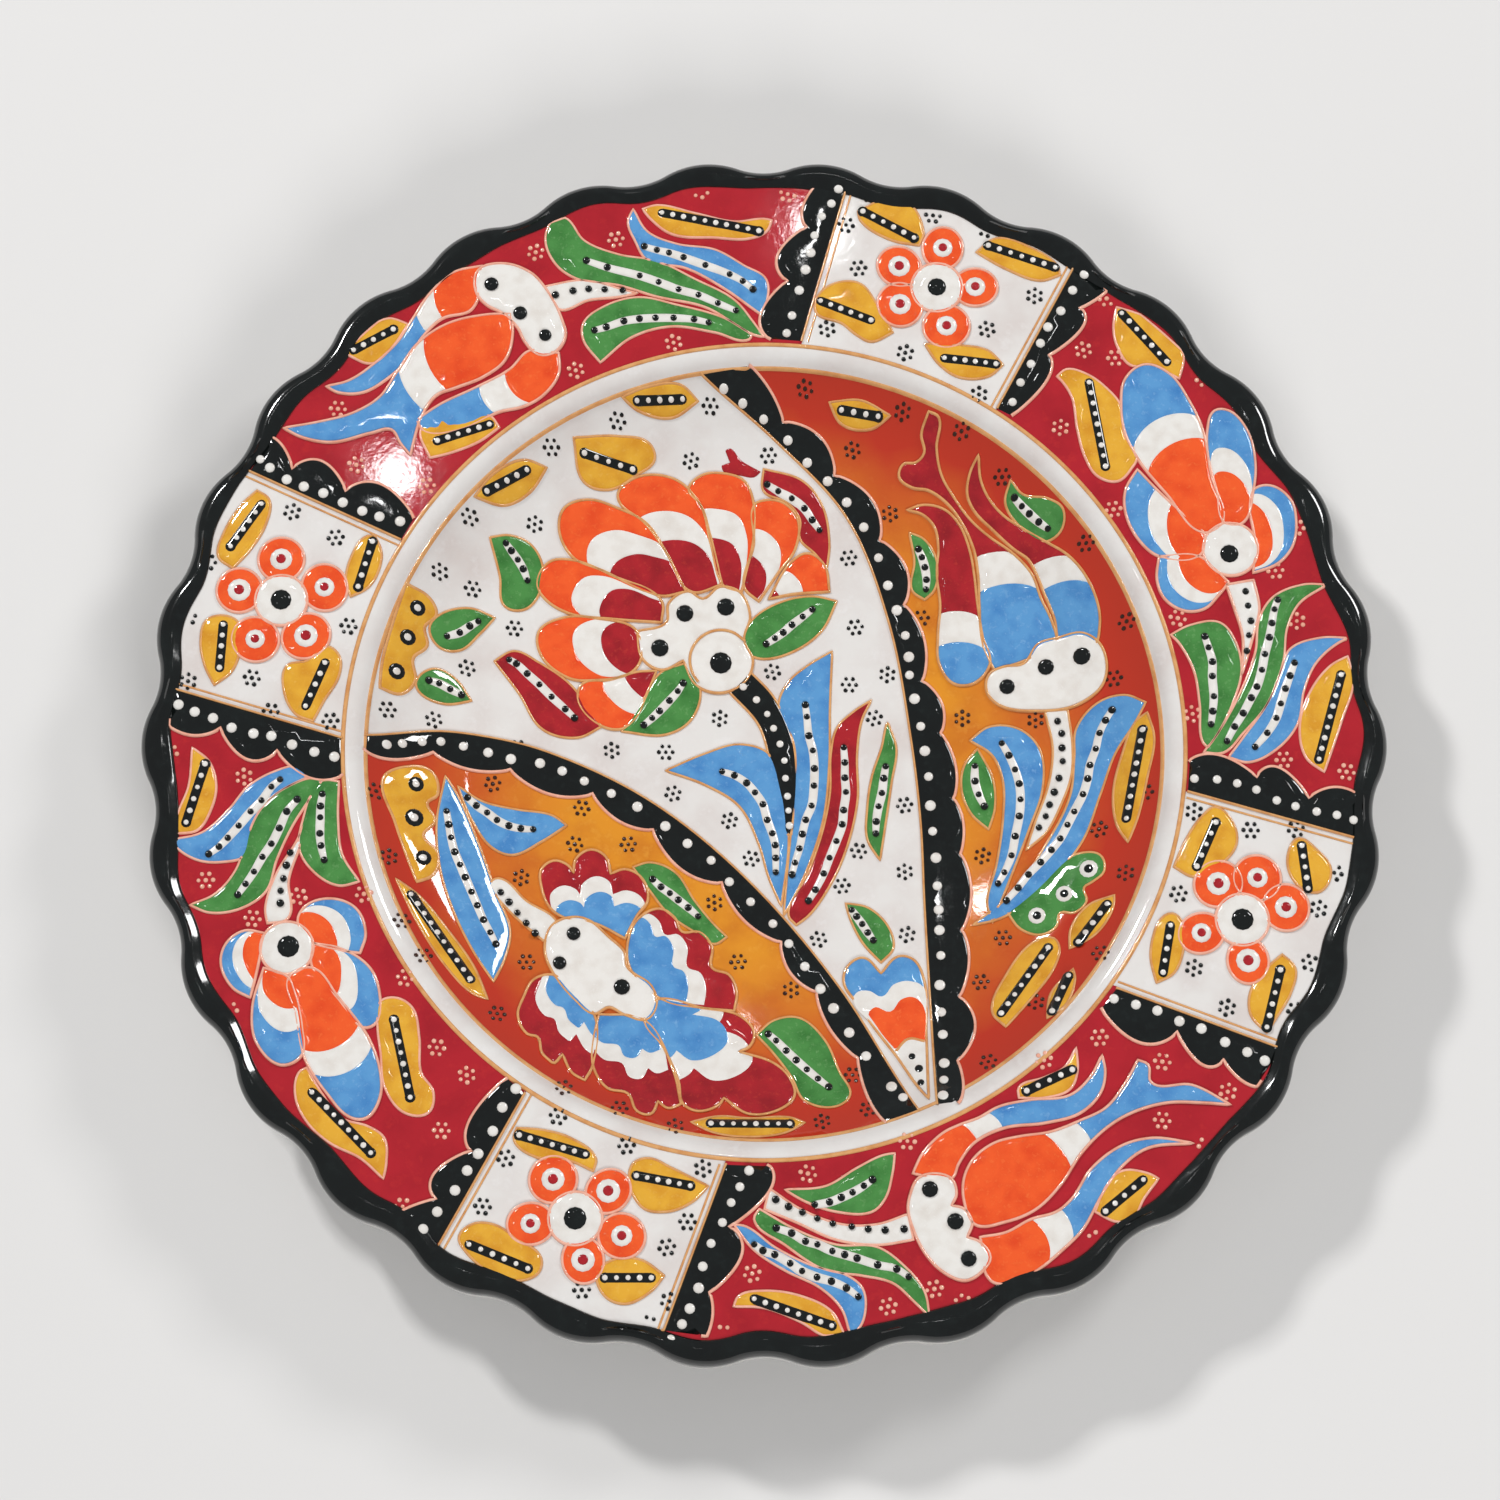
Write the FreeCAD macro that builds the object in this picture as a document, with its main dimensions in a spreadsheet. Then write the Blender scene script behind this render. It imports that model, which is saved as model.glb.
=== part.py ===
import FreeCAD, Part
import math
import os
import Sketcher

# A hand painted display plate in pressed earthenware, lying on its foot ring.
# +Z is up, the origin is the middle of the plane that the foot ring stands on.
# The clay body carries layers of raised enamel, and each layer is a sub-part of its own.

doc = FreeCAD.newDocument("Plate")

# ---------------------------------------------------------------- driving dimensions, mm
sheet = doc.addObject("Spreadsheet::Sheet", "Sheet")
DIMENSIONS = [
    ("lobe_count", 30),
    ("tip_radius", 124.5),
    ("valley_radius", 121.9),
    ("lobe_radius", 16.4),
    ("floor_height", 9.0),
    ("floor_radius", 400.0),
    ("floor_edge_r", 59.0),
    ("floor_edge_z", "=floor_height + floor_radius - sqrt(floor_radius ^ 2 - floor_edge_r ^ 2)"),
    ("wall_radius", 39.31),
    ("well_edge_r", 80.0),
    ("well_edge_z", 23.49),
    ("wall_top_r", 81.0),
    ("wall_top_z", 24.455),
    ("shoulder_radius", 5.0),
    ("rim_start_r", 84.54),
    ("rim_height", 25.92),
    ("lip_start_r", 118.5),
    ("lip_flat_r", 120.3),
    ("lip_height", 27.2),
    ("lip_bottom", 14.0),
    ("lip_inner_r", 117.0),
    ("lip_top_round", 2.6),
    ("lip_bottom_round", 2.4),
    ("blank_margin", 3.0),
    ("rim_under", 19.0),
    ("bowl_under_r", 88.0),
    ("foot_top_z", 7.5),
    ("foot_outer_r", 62.0),
    ("foot_inner_r", 56.0),
    ("foot_taper", 1.0),
    ("bowl_under_radius", 52.0),
    ("under_edge_z", 5.0),
    ("under_height", 3.0),
    ("enamel", 0.5),
    ("lip_glaze_bottom", 22.5),
    ("bead", 0.7),
    ("bar_cusp", 5.8),
    ("bar_bulge", 9.4),
    ("petal_count", 5),
    ("panel_petal_ring", 8.4),
    ("panel_petal_r", 4.3),
    ("panel_centre_r", 5.2),
    ("prism_height", 40.0),
]
for row, (alias, value) in enumerate(DIMENSIONS, start=1):
    sheet.set("A%d" % row, alias)
    sheet.set("B%d" % row, str(value))
    sheet.setAlias("B%d" % row, alias)
doc.recompute()


def size(alias):
    return float(getattr(sheet, alias))


# ---------------------------------------------------------------- sketch helpers
def origin_plane(body, role):
    for feature in body.Origin.OriginFeatures:
        if feature.Role == role:
            return feature
    raise RuntimeError("no plane " + role)


def vector(x, y):
    return FreeCAD.Vector(x, y, 0)


def arc_edge(start, end, radius, side):
    """Arc of a given radius from start to end; side +1 bulges left of the way there, -1 right."""
    chord = end - start
    half = chord.Length / 2
    normal = FreeCAD.Vector(-chord.y, chord.x, 0)
    normal.normalize()
    rise = radius - math.sqrt(radius * radius - half * half)
    middle = (start + end) * 0.5 + normal * (side * rise)
    return Part.Arc(start, middle, end)


def section_sketch(body, name, corners):
    """A closed revolved section. corners holds (r expression, z expression, arc to the next or None).

    An arc is (radius expression, side). Every corner and radius is a named constraint on the sheet."""
    sketch = body.newObject("Sketcher::SketchObject", name)
    sketch.AttachmentSupport = [(origin_plane(body, "XZ_Plane"), "")]
    sketch.MapMode = "FlatFace"
    points = []
    for r_text, z_text, _ in corners:
        points.append(vector(value_of(r_text), value_of(z_text)))
    for index, (_, _, arc) in enumerate(corners):
        start = points[index]
        end = points[(index + 1) % len(points)]
        if arc is None:
            sketch.addGeometry(Part.LineSegment(start, end), False)
        else:
            sketch.addGeometry(arc_edge(start, end, value_of(arc[0]), arc[1]), False)
    ends = []
    for index, (_, _, arc) in enumerate(corners):
        ends.append(end_numbers(sketch, index, points[index]))
    for index in range(len(corners)):
        after = (index + 1) % len(corners)
        joint = Sketcher.Constraint("Coincident", index, ends[index][1], after, ends[after][0])
        sketch.addConstraint(joint)
    for index, (r_text, z_text, arc) in enumerate(corners):
        place(sketch, "DistanceX", index, ends[index][0], points[index].x, r_text)
        place(sketch, "DistanceY", index, ends[index][0], points[index].y, z_text)
        if arc is not None:
            number = sketch.addConstraint(Sketcher.Constraint("Radius", index, value_of(arc[0])))
            sketch.setExpression("Constraints[%d]" % number, on_sheet(arc[0]))
    return sketch


def end_numbers(sketch, index, start):
    """Which of a curve's two ends is its start: FreeCAD turns every arc anticlockwise."""
    first = sketch.getPoint(index, 1)
    if first.distanceToPoint(start) < 1e-6:
        return (1, 2)
    return (2, 1)


def place(sketch, kind, index, end, value, text):
    """Fix one coordinate of a curve's end, measured from the sketch's origin."""
    if abs(value) < 1e-9:
        axis = -2 if kind == "DistanceX" else -1
        sketch.addConstraint(Sketcher.Constraint("PointOnObject", index, end, axis))
        return
    number = sketch.addConstraint(Sketcher.Constraint(kind, -1, 1, index, end, value))
    sketch.setExpression("Constraints[%d]" % number, on_sheet(text))


def terms(text):
    return text.replace("+", " + ").replace("-", " - ").split()


def on_sheet(text):
    """The expression with each alias looked up on the sheet."""
    words = []
    for word in terms(text):
        words.append("Sheet." + word if word[0].isalpha() else word)
    return " ".join(words)


def value_of(text):
    """The same sum worked out here, for the sketch's first geometry."""
    total = 0.0
    sign = 1.0
    for word in terms(text):
        if word in "+-":
            sign = 1.0 if word == "+" else -1.0
        else:
            total += sign * (size(word) if word[0].isalpha() else float(word))
    return total


def revolve(body, sketch):
    turn = body.newObject("PartDesign::Revolution", sketch.Name + "_turn")
    turn.Profile = sketch
    turn.ReferenceAxis = (sketch, ["V_Axis"])
    turn.Angle = 360
    doc.recompute()
    return turn


def new_body(name):
    body = doc.addObject("PartDesign::Body", name)
    body.Label = name
    return body


# ---------------------------------------------------------------- the scalloped outline
def scallops(outset):
    """Arcs of the lip's outline: a lobe and a valley, tangent to each other, repeated round the plate."""
    count = int(size("lobe_count"))
    half_pitch = math.pi / count
    lobe = size("lobe_radius") + outset
    valley = size("lobe_radius") - outset
    lobe_centre_r = size("tip_radius") - size("lobe_radius")
    valley_centre_r = size("valley_radius") + size("lobe_radius")
    curves = []
    for number in range(count):
        angle = 2 * half_pitch * number
        lobe_centre = polar(lobe_centre_r, angle)
        before = polar(valley_centre_r, angle - half_pitch)
        after = polar(valley_centre_r, angle + half_pitch)
        start = lobe_centre + (before - lobe_centre).normalize() * lobe
        end = lobe_centre + (after - lobe_centre).normalize() * lobe
        curves.append(Part.Arc(start, polar(lobe_centre_r + lobe, angle), end))
        next_lobe = polar(lobe_centre_r, angle + 2 * half_pitch)
        next_start = next_lobe + (after - next_lobe).normalize() * lobe
        curves.append(Part.Arc(end, polar(valley_centre_r - valley, angle + half_pitch), next_start))
    return curves


def polar(radius, angle):
    return vector(radius * math.cos(angle), radius * math.sin(angle))


def cut_scallops(body, outset, name):
    """Cut away all that lies outside the scalloped outline, right through the lip."""
    sketch = body.newObject("Sketcher::SketchObject", name)
    sketch.AttachmentSupport = [(origin_plane(body, "XY_Plane"), "")]
    sketch.MapMode = "FlatFace"
    sketch.addGeometry(scallops(outset), False)
    circle = Part.Circle(FreeCAD.Vector(0, 0, 0), FreeCAD.Vector(0, 0, 1), size("tip_radius") + 10)
    number = sketch.addGeometry(circle, False)
    limit = sketch.addConstraint(Sketcher.Constraint("Radius", number, circle.Radius))
    sketch.setExpression("Constraints[%d]" % limit, "Sheet.tip_radius + 10")
    pocket = body.newObject("PartDesign::Pocket", name + "_cut")
    pocket.Profile = sketch
    pocket.Type = 1
    pocket.Midplane = True
    doc.recompute()
    return pocket


def round_edge(body, base, height, alias, name):
    """Round the scalloped edge that lies in the plane at one height."""
    names = []
    inside = size("valley_radius") - 1
    for number, edge in enumerate(base.Shape.Edges, start=1):
        box = edge.BoundBox
        level = abs(box.ZMin - height) < 1e-4 and abs(box.ZMax - height) < 1e-4
        middle = edge.CenterOfMass
        if level and math.hypot(middle.x, middle.y) > inside:
            names.append("Edge%d" % number)
    fillet = body.newObject("PartDesign::Fillet", name)
    fillet.Base = (base, names)
    fillet.setExpression("Radius", "Sheet." + alias)
    doc.recompute()
    return fillet


# ---------------------------------------------------------------- plate_body
# One pressed piece: a shallow well, a steep wall, a wide flat rim, a thick scalloped lip
# that hangs below the rim, and a turned foot ring under the well.
plate = new_body("plate_body")
plate_section = section_sketch(plate, "plate_section", [
    ("0", "under_height", None),
    ("0", "floor_height", ("floor_radius", -1)),
    ("floor_edge_r", "floor_edge_z", ("wall_radius", -1)),
    ("wall_top_r", "wall_top_z", ("shoulder_radius", 1)),
    ("rim_start_r", "rim_height", None),
    ("lip_start_r", "rim_height", None),
    ("lip_flat_r", "lip_height", None),
    ("tip_radius + blank_margin", "lip_height", None),
    ("tip_radius + blank_margin", "lip_bottom", None),
    ("lip_inner_r + foot_taper", "lip_bottom", None),
    ("lip_inner_r", "rim_under", None),
    ("bowl_under_r", "rim_under", ("bowl_under_radius", -1)),
    ("foot_outer_r + foot_taper", "foot_top_z", None),
    ("foot_outer_r", "0", None),
    ("foot_inner_r", "0", None),
    ("foot_inner_r - foot_taper", "under_edge_z", None),
])
revolve(plate, plate_section)
plate_cut = cut_scallops(plate, 0.0, "lip_outline")
plate_top = round_edge(plate, plate_cut, size("lip_height"), "lip_top_round", "lip_top_edge")
round_edge(plate, plate_top, size("lip_bottom"), "lip_bottom_round", "lip_bottom_edge")

# ---------------------------------------------------------------- lip_glaze
# The black glaze that the lip was dipped in, over its top and the upper part of its side.
lip_blank = new_body("lip_blank")
lip_section = section_sketch(lip_blank, "lip_section", [
    ("lip_start_r", "rim_height - 2", None),
    ("lip_start_r", "rim_height + enamel", None),
    ("lip_flat_r", "lip_height + enamel", None),
    ("tip_radius + blank_margin", "lip_height + enamel", None),
    ("tip_radius + blank_margin", "lip_glaze_bottom", None),
    ("lip_flat_r", "lip_glaze_bottom", None),
])
revolve(lip_blank, lip_section)
lip_cut = cut_scallops(lip_blank, size("enamel"), "glaze_outline")
lip_round = round_edge(lip_blank, lip_cut, size("lip_height") + size("enamel"), "lip_top_round",
                       "glaze_top_edge")
lip_round.setExpression("Radius", "Sheet.lip_top_round + Sheet.enamel")
lip_glaze = doc.addObject("Part::Cut", "lip_glaze")
lip_glaze.Base = lip_blank
lip_glaze.Tool = plate
lip_glaze.Label = "lip_glaze"

# ---------------------------------------------------------------- enamel layers to cut the motifs from
WELL_LINE = [
    ("0", "floor_height", ("floor_radius", -1)),
    ("floor_edge_r", "floor_edge_z", ("wall_radius", -1)),
    ("well_edge_r", "well_edge_z", None),
]
RIM_LINE = [
    ("rim_start_r", "rim_height", None),
    ("lip_start_r", "rim_height", None),
]


def layer(name, line, low, high):
    """A coat between two heights over the face: the face's own line raised by low and by high."""
    body = new_body(name)
    corners = []
    for number, (r_text, z_text, arc) in enumerate(line):
        corners.append((r_text, z_text + low, arc if number < len(line) - 1 else None))
    for number in range(len(line) - 1, -1, -1):
        r_text, z_text, _ = line[number]
        arc = line[number - 1][2] if number > 0 else None
        corners.append((r_text, z_text + high, (arc[0], -arc[1]) if arc else None))
    revolve(body, section_sketch(body, name + "_section", corners))
    return body


well_coat = layer("well_coat", WELL_LINE, "", " + enamel")
rim_coat = layer("rim_coat", RIM_LINE, "", " + enamel")
well_beads = layer("well_beads", WELL_LINE, " + enamel", " + enamel + bead")
rim_beads = layer("rim_beads", RIM_LINE, " + enamel", " + enamel + bead")

# ---------------------------------------------------------------- ring_glaze
# The plain white band on the steep wall, from the well's edge to the rim.
ring = new_body("ring_glaze")
ring_section = section_sketch(ring, "ring_section", [
    ("well_edge_r", "well_edge_z", ("wall_radius", -1)),
    ("wall_top_r", "wall_top_z", ("shoulder_radius", 1)),
    ("rim_start_r", "rim_height", None),
    ("rim_start_r", "rim_height + enamel", ("shoulder_radius", -1)),
    ("wall_top_r", "wall_top_z + enamel", ("wall_radius", 1)),
    ("well_edge_r", "well_edge_z + enamel", None),
])
revolve(ring, ring_section)


# ---------------------------------------------------------------- outlines in plan
def prism(name, curves):
    """A tall prism on a closed outline in plan, for cutting a layer to shape."""
    sketch = doc.addObject("Sketcher::SketchObject", name + "_outline")
    sketch.addGeometry(curves, False)
    solid = doc.addObject("Part::Extrusion", name + "_prism")
    solid.Base = sketch
    solid.DirMode = "Normal"
    solid.Solid = True
    solid.setExpression("LengthFwd", "Sheet.prism_height")
    return solid


def polyline(points):
    edges = []
    for start, end in zip(points[:-1], points[1:]):
        edges.append(Part.LineSegment(vector(*start), vector(*end)))
    return edges


def clip(name, prism_object, coat):
    solid = doc.addObject("Part::Common", name)
    solid.Base = coat
    solid.Tool = prism_object
    solid.Label = name
    return solid


def minus(name, base, tools):
    """base with each tool cut away in turn."""
    for number, tool in enumerate(tools, start=1):
        last = number == len(tools)
        cut = doc.addObject("Part::Cut", name if last else "%s_step%d" % (name, number))
        cut.Base = base
        cut.Tool = tool
        base = cut
    base.Label = name
    return base


# ---------------------------------------------------------------- rim_bar_1 to rim_bar_8
# Black bars across the rim. The side towards a white panel is straight, the side towards a red
# field has three scallops. Each row: end at the ring, end at the lip, side of the scallops.
BARS = [
    ((7.7, 85.0), (17.5, 120.0), 1),
    ((47.6, 70.5), (64.0, 101.5), -1),
    ((84.5, -10.0), (117.5, -19.5), 1),
    ((69.5, -50.0), (102.0, -62.3), -1),
    ((-7.5, -85.0), (-20.5, -120.3), 1),
    ((-47.0, -71.0), (-64.5, -103.0), -1),
    ((-84.5, 1.0), (-120.5, 11.8), 1),
    ((-73.5, 42.5), (-105.5, 57.5), -1),
]
SCALLOP_ENDS = (0.0, 0.36, 0.72, 1.08)


def along(start, end, share, offset):
    """The point at a share of the way from start to end, and offset to the left of the way."""
    a = vector(*start)
    way = vector(*end) - a
    left = FreeCAD.Vector(-way.y, way.x, 0).normalize()
    return a + way * share + left * offset


def bar_curves(start, end, side):
    cusp = size("bar_cusp") * side
    bulge = size("bar_bulge") * side
    first = along(start, end, -0.12, 0)
    last = along(start, end, 1.2, 0)
    curves = [Part.LineSegment(first, last)]
    outer = along(start, end, 1.2, cusp)
    curves.append(Part.LineSegment(last, outer))
    here = along(start, end, SCALLOP_ENDS[-1], cusp)
    curves.append(Part.LineSegment(outer, here))
    for low, high in zip(SCALLOP_ENDS[-2::-1], SCALLOP_ENDS[:0:-1]):
        below = along(start, end, low, cusp)
        middle = along(start, end, (low + high) / 2, bulge)
        curves.append(Part.Arc(here, middle, below))
        here = below
    foot = along(start, end, -0.12, cusp)
    curves.append(Part.LineSegment(here, foot))
    curves.append(Part.LineSegment(foot, first))
    return curves


bar_prisms = []
parts = [plate, lip_glaze, ring]
for number, (ring_end, lip_end, side) in enumerate(BARS, start=1):
    name = "rim_bar_%d" % number
    bar_prisms.append(prism(name, bar_curves(ring_end, lip_end, side)))
    parts.append(clip(name, bar_prisms[-1], rim_coat))


# ---------------------------------------------------------------- rim_panel_* and rim_field_*
# White panels lie between the straight sides of bars 1-2, 3-4, 5-6 and 7-8, and the four red
# fields between the scalloped sides of bars 2-3, 4-5, 6-7 and 8-1.
def sector(first, second):
    """Outline between two bars' straight sides, carried past the ring and past the lip."""
    corners = []
    for bar, shares in ((first, (-0.4, 1.6)), (second, (1.6, -0.4))):
        for share in shares:
            point = along(BARS[bar][0], BARS[bar][1], share, 0)
            corners.append((point.x, point.y))
    middle = vector(*corners[1]) + vector(*corners[2])
    far = middle.normalize() * (size("tip_radius") * 1.5)
    corners.insert(2, (far.x, far.y))
    corners.append(corners[0])
    return polyline(corners)


PANELS = [("rim_panel_top_right", 0, 1), ("rim_panel_right", 2, 3),
          ("rim_panel_bottom_left", 5, 4), ("rim_panel_left", 6, 7)]
FIELDS = [("rim_field_right", 1, 2), ("rim_field_bottom_right", 3, 4),
          ("rim_field_bottom_left", 5, 6), ("rim_field_top_left", 7, 0)]
for name, first, second in PANELS:
    parts.append(clip(name, prism(name, sector(first, second)), rim_coat))
for name, first, second in FIELDS:
    whole = clip(name + "_whole", prism(name, sector(first, second)), rim_coat)
    parts.append(minus(name, whole, [bar_prisms[first], bar_prisms[second]]))

# ---------------------------------------------------------------- the well
# Two curved black bars meet at the lower right. The side towards the white ground is a smooth
# sweep, the other side is a row of scallops, each an arc from cusp to cusp over a middle point.
RIGHT_BAR_SWEEP = [((-13, 79), (17, 51.5), (30, 5)), ((30, 5), (32.4, -30), (34, -78))]
RIGHT_BAR_SCALLOPS = [
    ((38, -78), (39.2, -70), (38.3, -63.3)),
    ((38.3, -63.3), (42, -56), (39, -49.5)),
    ((39, -49.5), (41.1, -42), (39.7, -35.5)),
    ((39.7, -35.5), (41.8, -27.5), (39.7, -19.5)),
    ((39.7, -19.5), (40.4, -13), (38.4, -7.8)),
    ((38.4, -7.8), (39, -1), (36, 6)),
    ((36, 6), (36.4, 12), (32.3, 17)),
    ((32.3, 17), (32.9, 25.5), (28.7, 33)),
    ((28.7, 33), (29.3, 40.5), (23.8, 46.5)),
    ((23.8, 46.5), (22.3, 55), (14.5, 60)),
    ((14.5, 60), (11.8, 67.5), (4, 70.5)),
    ((4, 70.5), (1.5, 77.5), (-5, 84)),
]
LOWER_BAR_SWEEP = [((-84, 1), (-66, 5.2), (-44, 1.8)), ((-44, 1.8), (-5, -22.8), (33, -78))]
LOWER_BAR_SCALLOPS = [
    ((28, -81), (20.5, -70.5), (18.7, -62)),
    ((18.7, -62), (13, -55.5), (10.6, -48)),
    ((10.6, -48), (5.3, -44), (3.5, -37.5)),
    ((3.5, -37.5), (-4, -33), (-8.5, -25)),
    ((-8.5, -25), (-16.8, -22.3), (-22.5, -14)),
    ((-22.5, -14), (-29.5, -12.3), (-34.8, -6.6)),
    ((-34.8, -6.6), (-43.5, -7), (-51.5, -2)),
    ((-51.5, -2), (-59.5, -2.4), (-67, 0.8)),
    ((-67, 0.8), (-75, -1.8), (-84, -1)),
]


def arcs(triples):
    return [Part.Arc(vector(*a), vector(*b), vector(*c)) for a, b, c in triples]


def swept_bar(sweep, scallop_rows):
    """A closed outline: the smooth side, a short end, the scallops back, and the other end."""
    curves = arcs(sweep)
    curves += polyline([sweep[-1][2], scallop_rows[0][0]])
    curves += arcs(scallop_rows)
    curves += polyline([scallop_rows[-1][2], sweep[0][0]])
    return curves


OUTSIDE = 90.0
right_bar = prism("well_bar_right", swept_bar(RIGHT_BAR_SWEEP, RIGHT_BAR_SCALLOPS))
lower_bar = prism("well_bar_lower", swept_bar(LOWER_BAR_SWEEP, LOWER_BAR_SCALLOPS))
east_side = prism("east_side", arcs(RIGHT_BAR_SWEEP) + polyline(
    [(34, -78), (34, -OUTSIDE), (OUTSIDE, -OUTSIDE), (OUTSIDE, OUTSIDE), (-13, OUTSIDE), (-13, 79)]))
south_side = prism("south_side", arcs(LOWER_BAR_SWEEP) + polyline(
    [(33, -78), (33, -OUTSIDE), (-OUTSIDE, -OUTSIDE), (-OUTSIDE, 1), (-84, 1)]))
bar_right = clip("well_bar_right_whole", right_bar, well_coat)
parts.append(clip("well_bar_lower", lower_bar, well_coat))
parts.append(minus("well_bar_right", bar_right, [lower_bar]))
amber_right = clip("amber_right_whole", east_side, well_coat)
parts.append(minus("amber_field_right", amber_right, [right_bar, lower_bar]))
amber_lower = clip("amber_lower_whole", south_side, well_coat)
parts.append(minus("amber_field_lower", amber_lower, [lower_bar, right_bar]))
parts.append(minus("well_ground", well_coat, [east_side, south_side]))


# ---------------------------------------------------------------- raised flowers
# Each is a thicker deposit of enamel on its field, so it stands proud of it.
def petal(name, centre, angle, length, width):
    """An elliptical petal's prism; angle is the direction of its long axis in degrees."""
    ellipse = doc.addObject("Part::Ellipse", name + "_edge")
    ellipse.MajorRadius = length / 2
    ellipse.MinorRadius = width / 2
    ellipse.Placement = FreeCAD.Placement(vector(*centre), FreeCAD.Rotation(angle, 0, 0))
    solid = doc.addObject("Part::Extrusion", name + "_prism")
    solid.Base = ellipse
    solid.DirMode = "Custom"
    solid.Dir = FreeCAD.Vector(0, 0, 1)
    solid.Solid = True
    solid.setExpression("LengthFwd", "Sheet.prism_height")
    return solid


def flower(name, petals, beads):
    """petals holds (centre, angle, length, width); they run together into one deposit."""
    prisms = []
    for number, row in enumerate(petals, start=1):
        prisms.append(petal("%s_petal%d" % (name, number), *row))
    merged = doc.addObject("Part::MultiFuse", name + "_outline")
    merged.Shapes = prisms
    return clip(name, merged, beads)


def panel_petals(centre, turn):
    """Round petals, evenly spaced, about a round middle."""
    count = int(size("petal_count"))
    step = size("panel_petal_ring")
    across = 2 * size("panel_petal_r")
    middle = 2 * size("panel_centre_r")
    rows = [(centre, 0, middle + 0.01, middle)]
    for number in range(count):
        angle = math.radians(turn + 360 * number / count)
        place_of = (centre[0] + step * math.cos(angle), centre[1] + step * math.sin(angle))
        rows.append((place_of, math.degrees(angle), across + 0.4, across))
    return rows


PANEL_FLOWERS = [("panel_flower_top_right", (35.5, 97.0), 3), ("panel_flower_right", (94.6, -36.3), 16),
                 ("panel_flower_bottom_left", (-37.0, -96.0), 40), ("panel_flower_left", (-97.8, 29.8), 22)]
for name, centre, turn in PANEL_FLOWERS:
    parts.append(flower(name, panel_petals(centre, turn), rim_beads))

# (centre, angle of the long axis, length, width) of each petal
RIM_FLOWERS = [
    ("tulip_top_left", [((-62, 84), 40, 24, 16), ((-62, 99), 40, 16, 8), ((-48, 77), 50, 16, 8),
                        ((-50, 93), 135, 21, 10)]),
    ("tulip_bottom_right", [((49, -88), 30, 24, 15), ((36, -82), 50, 16, 8), ((48, -102), 20, 16, 9),
                            ((36, -96), 125, 21, 10)]),
    ("blossom_right", [((94, 40.5), 90, 11, 10.8), ((84, 62), 105, 28, 15), ((96, 58), 92, 22, 10),
                       ((104, 46), 60, 13, 9), ((80, 49), 125, 18, 11), ((85, 34), 20, 12, 10)]),
    ("blossom_bottom_left", [((-94, -41), 90, 11, 10.8), ((-83, -63), 120, 28, 13), ((-96, -56), 70, 18, 9),
                             ((-103, -44), 40, 12, 9), ((-83, -44), 140, 14, 9), ((-86, -35), 20, 13, 9)]),
]
WELL_FLOWERS = [
    ("carnation_large", [((-15, 29), 130, 22, 20), ((-35, 36), 0, 22, 11), ((-32, 46), 150, 26, 11),
                         ((-21, 52), 118, 26, 12), ((-8, 49), 95, 25, 12), ((1, 44), 75, 26, 10),
                         ((-36, 25), 10, 22, 12), ((-31, 15), 45, 15, 13), ((6.5, 38), 30, 16, 10)]),
    ("carnation_small", [((-34, -43), 120, 22, 18), ((-34, -28), 0, 22, 16), ((-18, -41), 120, 24, 14),
                         ((-17, -55), 140, 30, 15), ((-29, -61), 110, 20, 13), ((-42, -54), 45, 18, 13)]),
    ("well_tulip", [((56, 18), 0, 21, 13), ((51, 31), 95, 25, 15), ((62, 33), 100, 22, 13),
                    ((41, 24), 110, 20, 10)]),
]
for name, rows in RIM_FLOWERS:
    parts.append(flower(name, rows, rim_beads))
for name, rows in WELL_FLOWERS:
    parts.append(flower(name, rows, well_beads))

# ---------------------------------------------------------------- check and write
doc.recompute()
for item in doc.Objects:
    if "Invalid" in item.State or "Error" in item.State:
        raise RuntimeError("%s did not compute: %s" % (item.Label, item.State))
os.makedirs("parts", exist_ok=True)
for item in parts:
    shape = item.Shape
    if shape.isNull() or not shape.isValid() or shape.Volume <= 0:
        raise RuntimeError("%s has no valid shape" % item.Label)
for item in parts:
    item.Shape.exportStep("parts/%s.step" % item.Label)
    print("%-28s %3d solids %10.1f mm3" % (item.Label, len(item.Shape.Solids), item.Shape.Volume))
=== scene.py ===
import math

import bpy
import numpy as np
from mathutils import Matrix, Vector
from mathutils.geometry import delaunay_2d_cdt


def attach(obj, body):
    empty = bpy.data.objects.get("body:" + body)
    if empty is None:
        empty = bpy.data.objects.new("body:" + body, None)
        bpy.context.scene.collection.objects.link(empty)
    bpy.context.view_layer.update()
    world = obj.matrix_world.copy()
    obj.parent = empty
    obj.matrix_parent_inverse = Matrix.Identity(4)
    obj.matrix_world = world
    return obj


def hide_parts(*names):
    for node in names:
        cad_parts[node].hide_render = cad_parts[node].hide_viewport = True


# A hand painted display plate, lying on its foot ring. The clay body comes first, then the glazed
# lip, the grounds of rim and well, and last the enamel that was trailed on from a fine nozzle.
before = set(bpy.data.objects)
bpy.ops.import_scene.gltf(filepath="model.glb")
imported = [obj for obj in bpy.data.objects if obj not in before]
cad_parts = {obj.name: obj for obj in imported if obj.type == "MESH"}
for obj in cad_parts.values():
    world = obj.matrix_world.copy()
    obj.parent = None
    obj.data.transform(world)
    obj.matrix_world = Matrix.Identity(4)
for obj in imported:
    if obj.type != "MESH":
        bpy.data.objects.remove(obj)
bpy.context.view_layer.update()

# ---------------------------------------------------------------- plate body
# One pressed piece of earthenware: shallow well, steep wall, flat rim, a thick scalloped lip
# hanging below it and a turned foot ring. It is white-glazed all over and wiped bare on the foot.
LOBES = 30
TIP_RADIUS = 124.5
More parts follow.
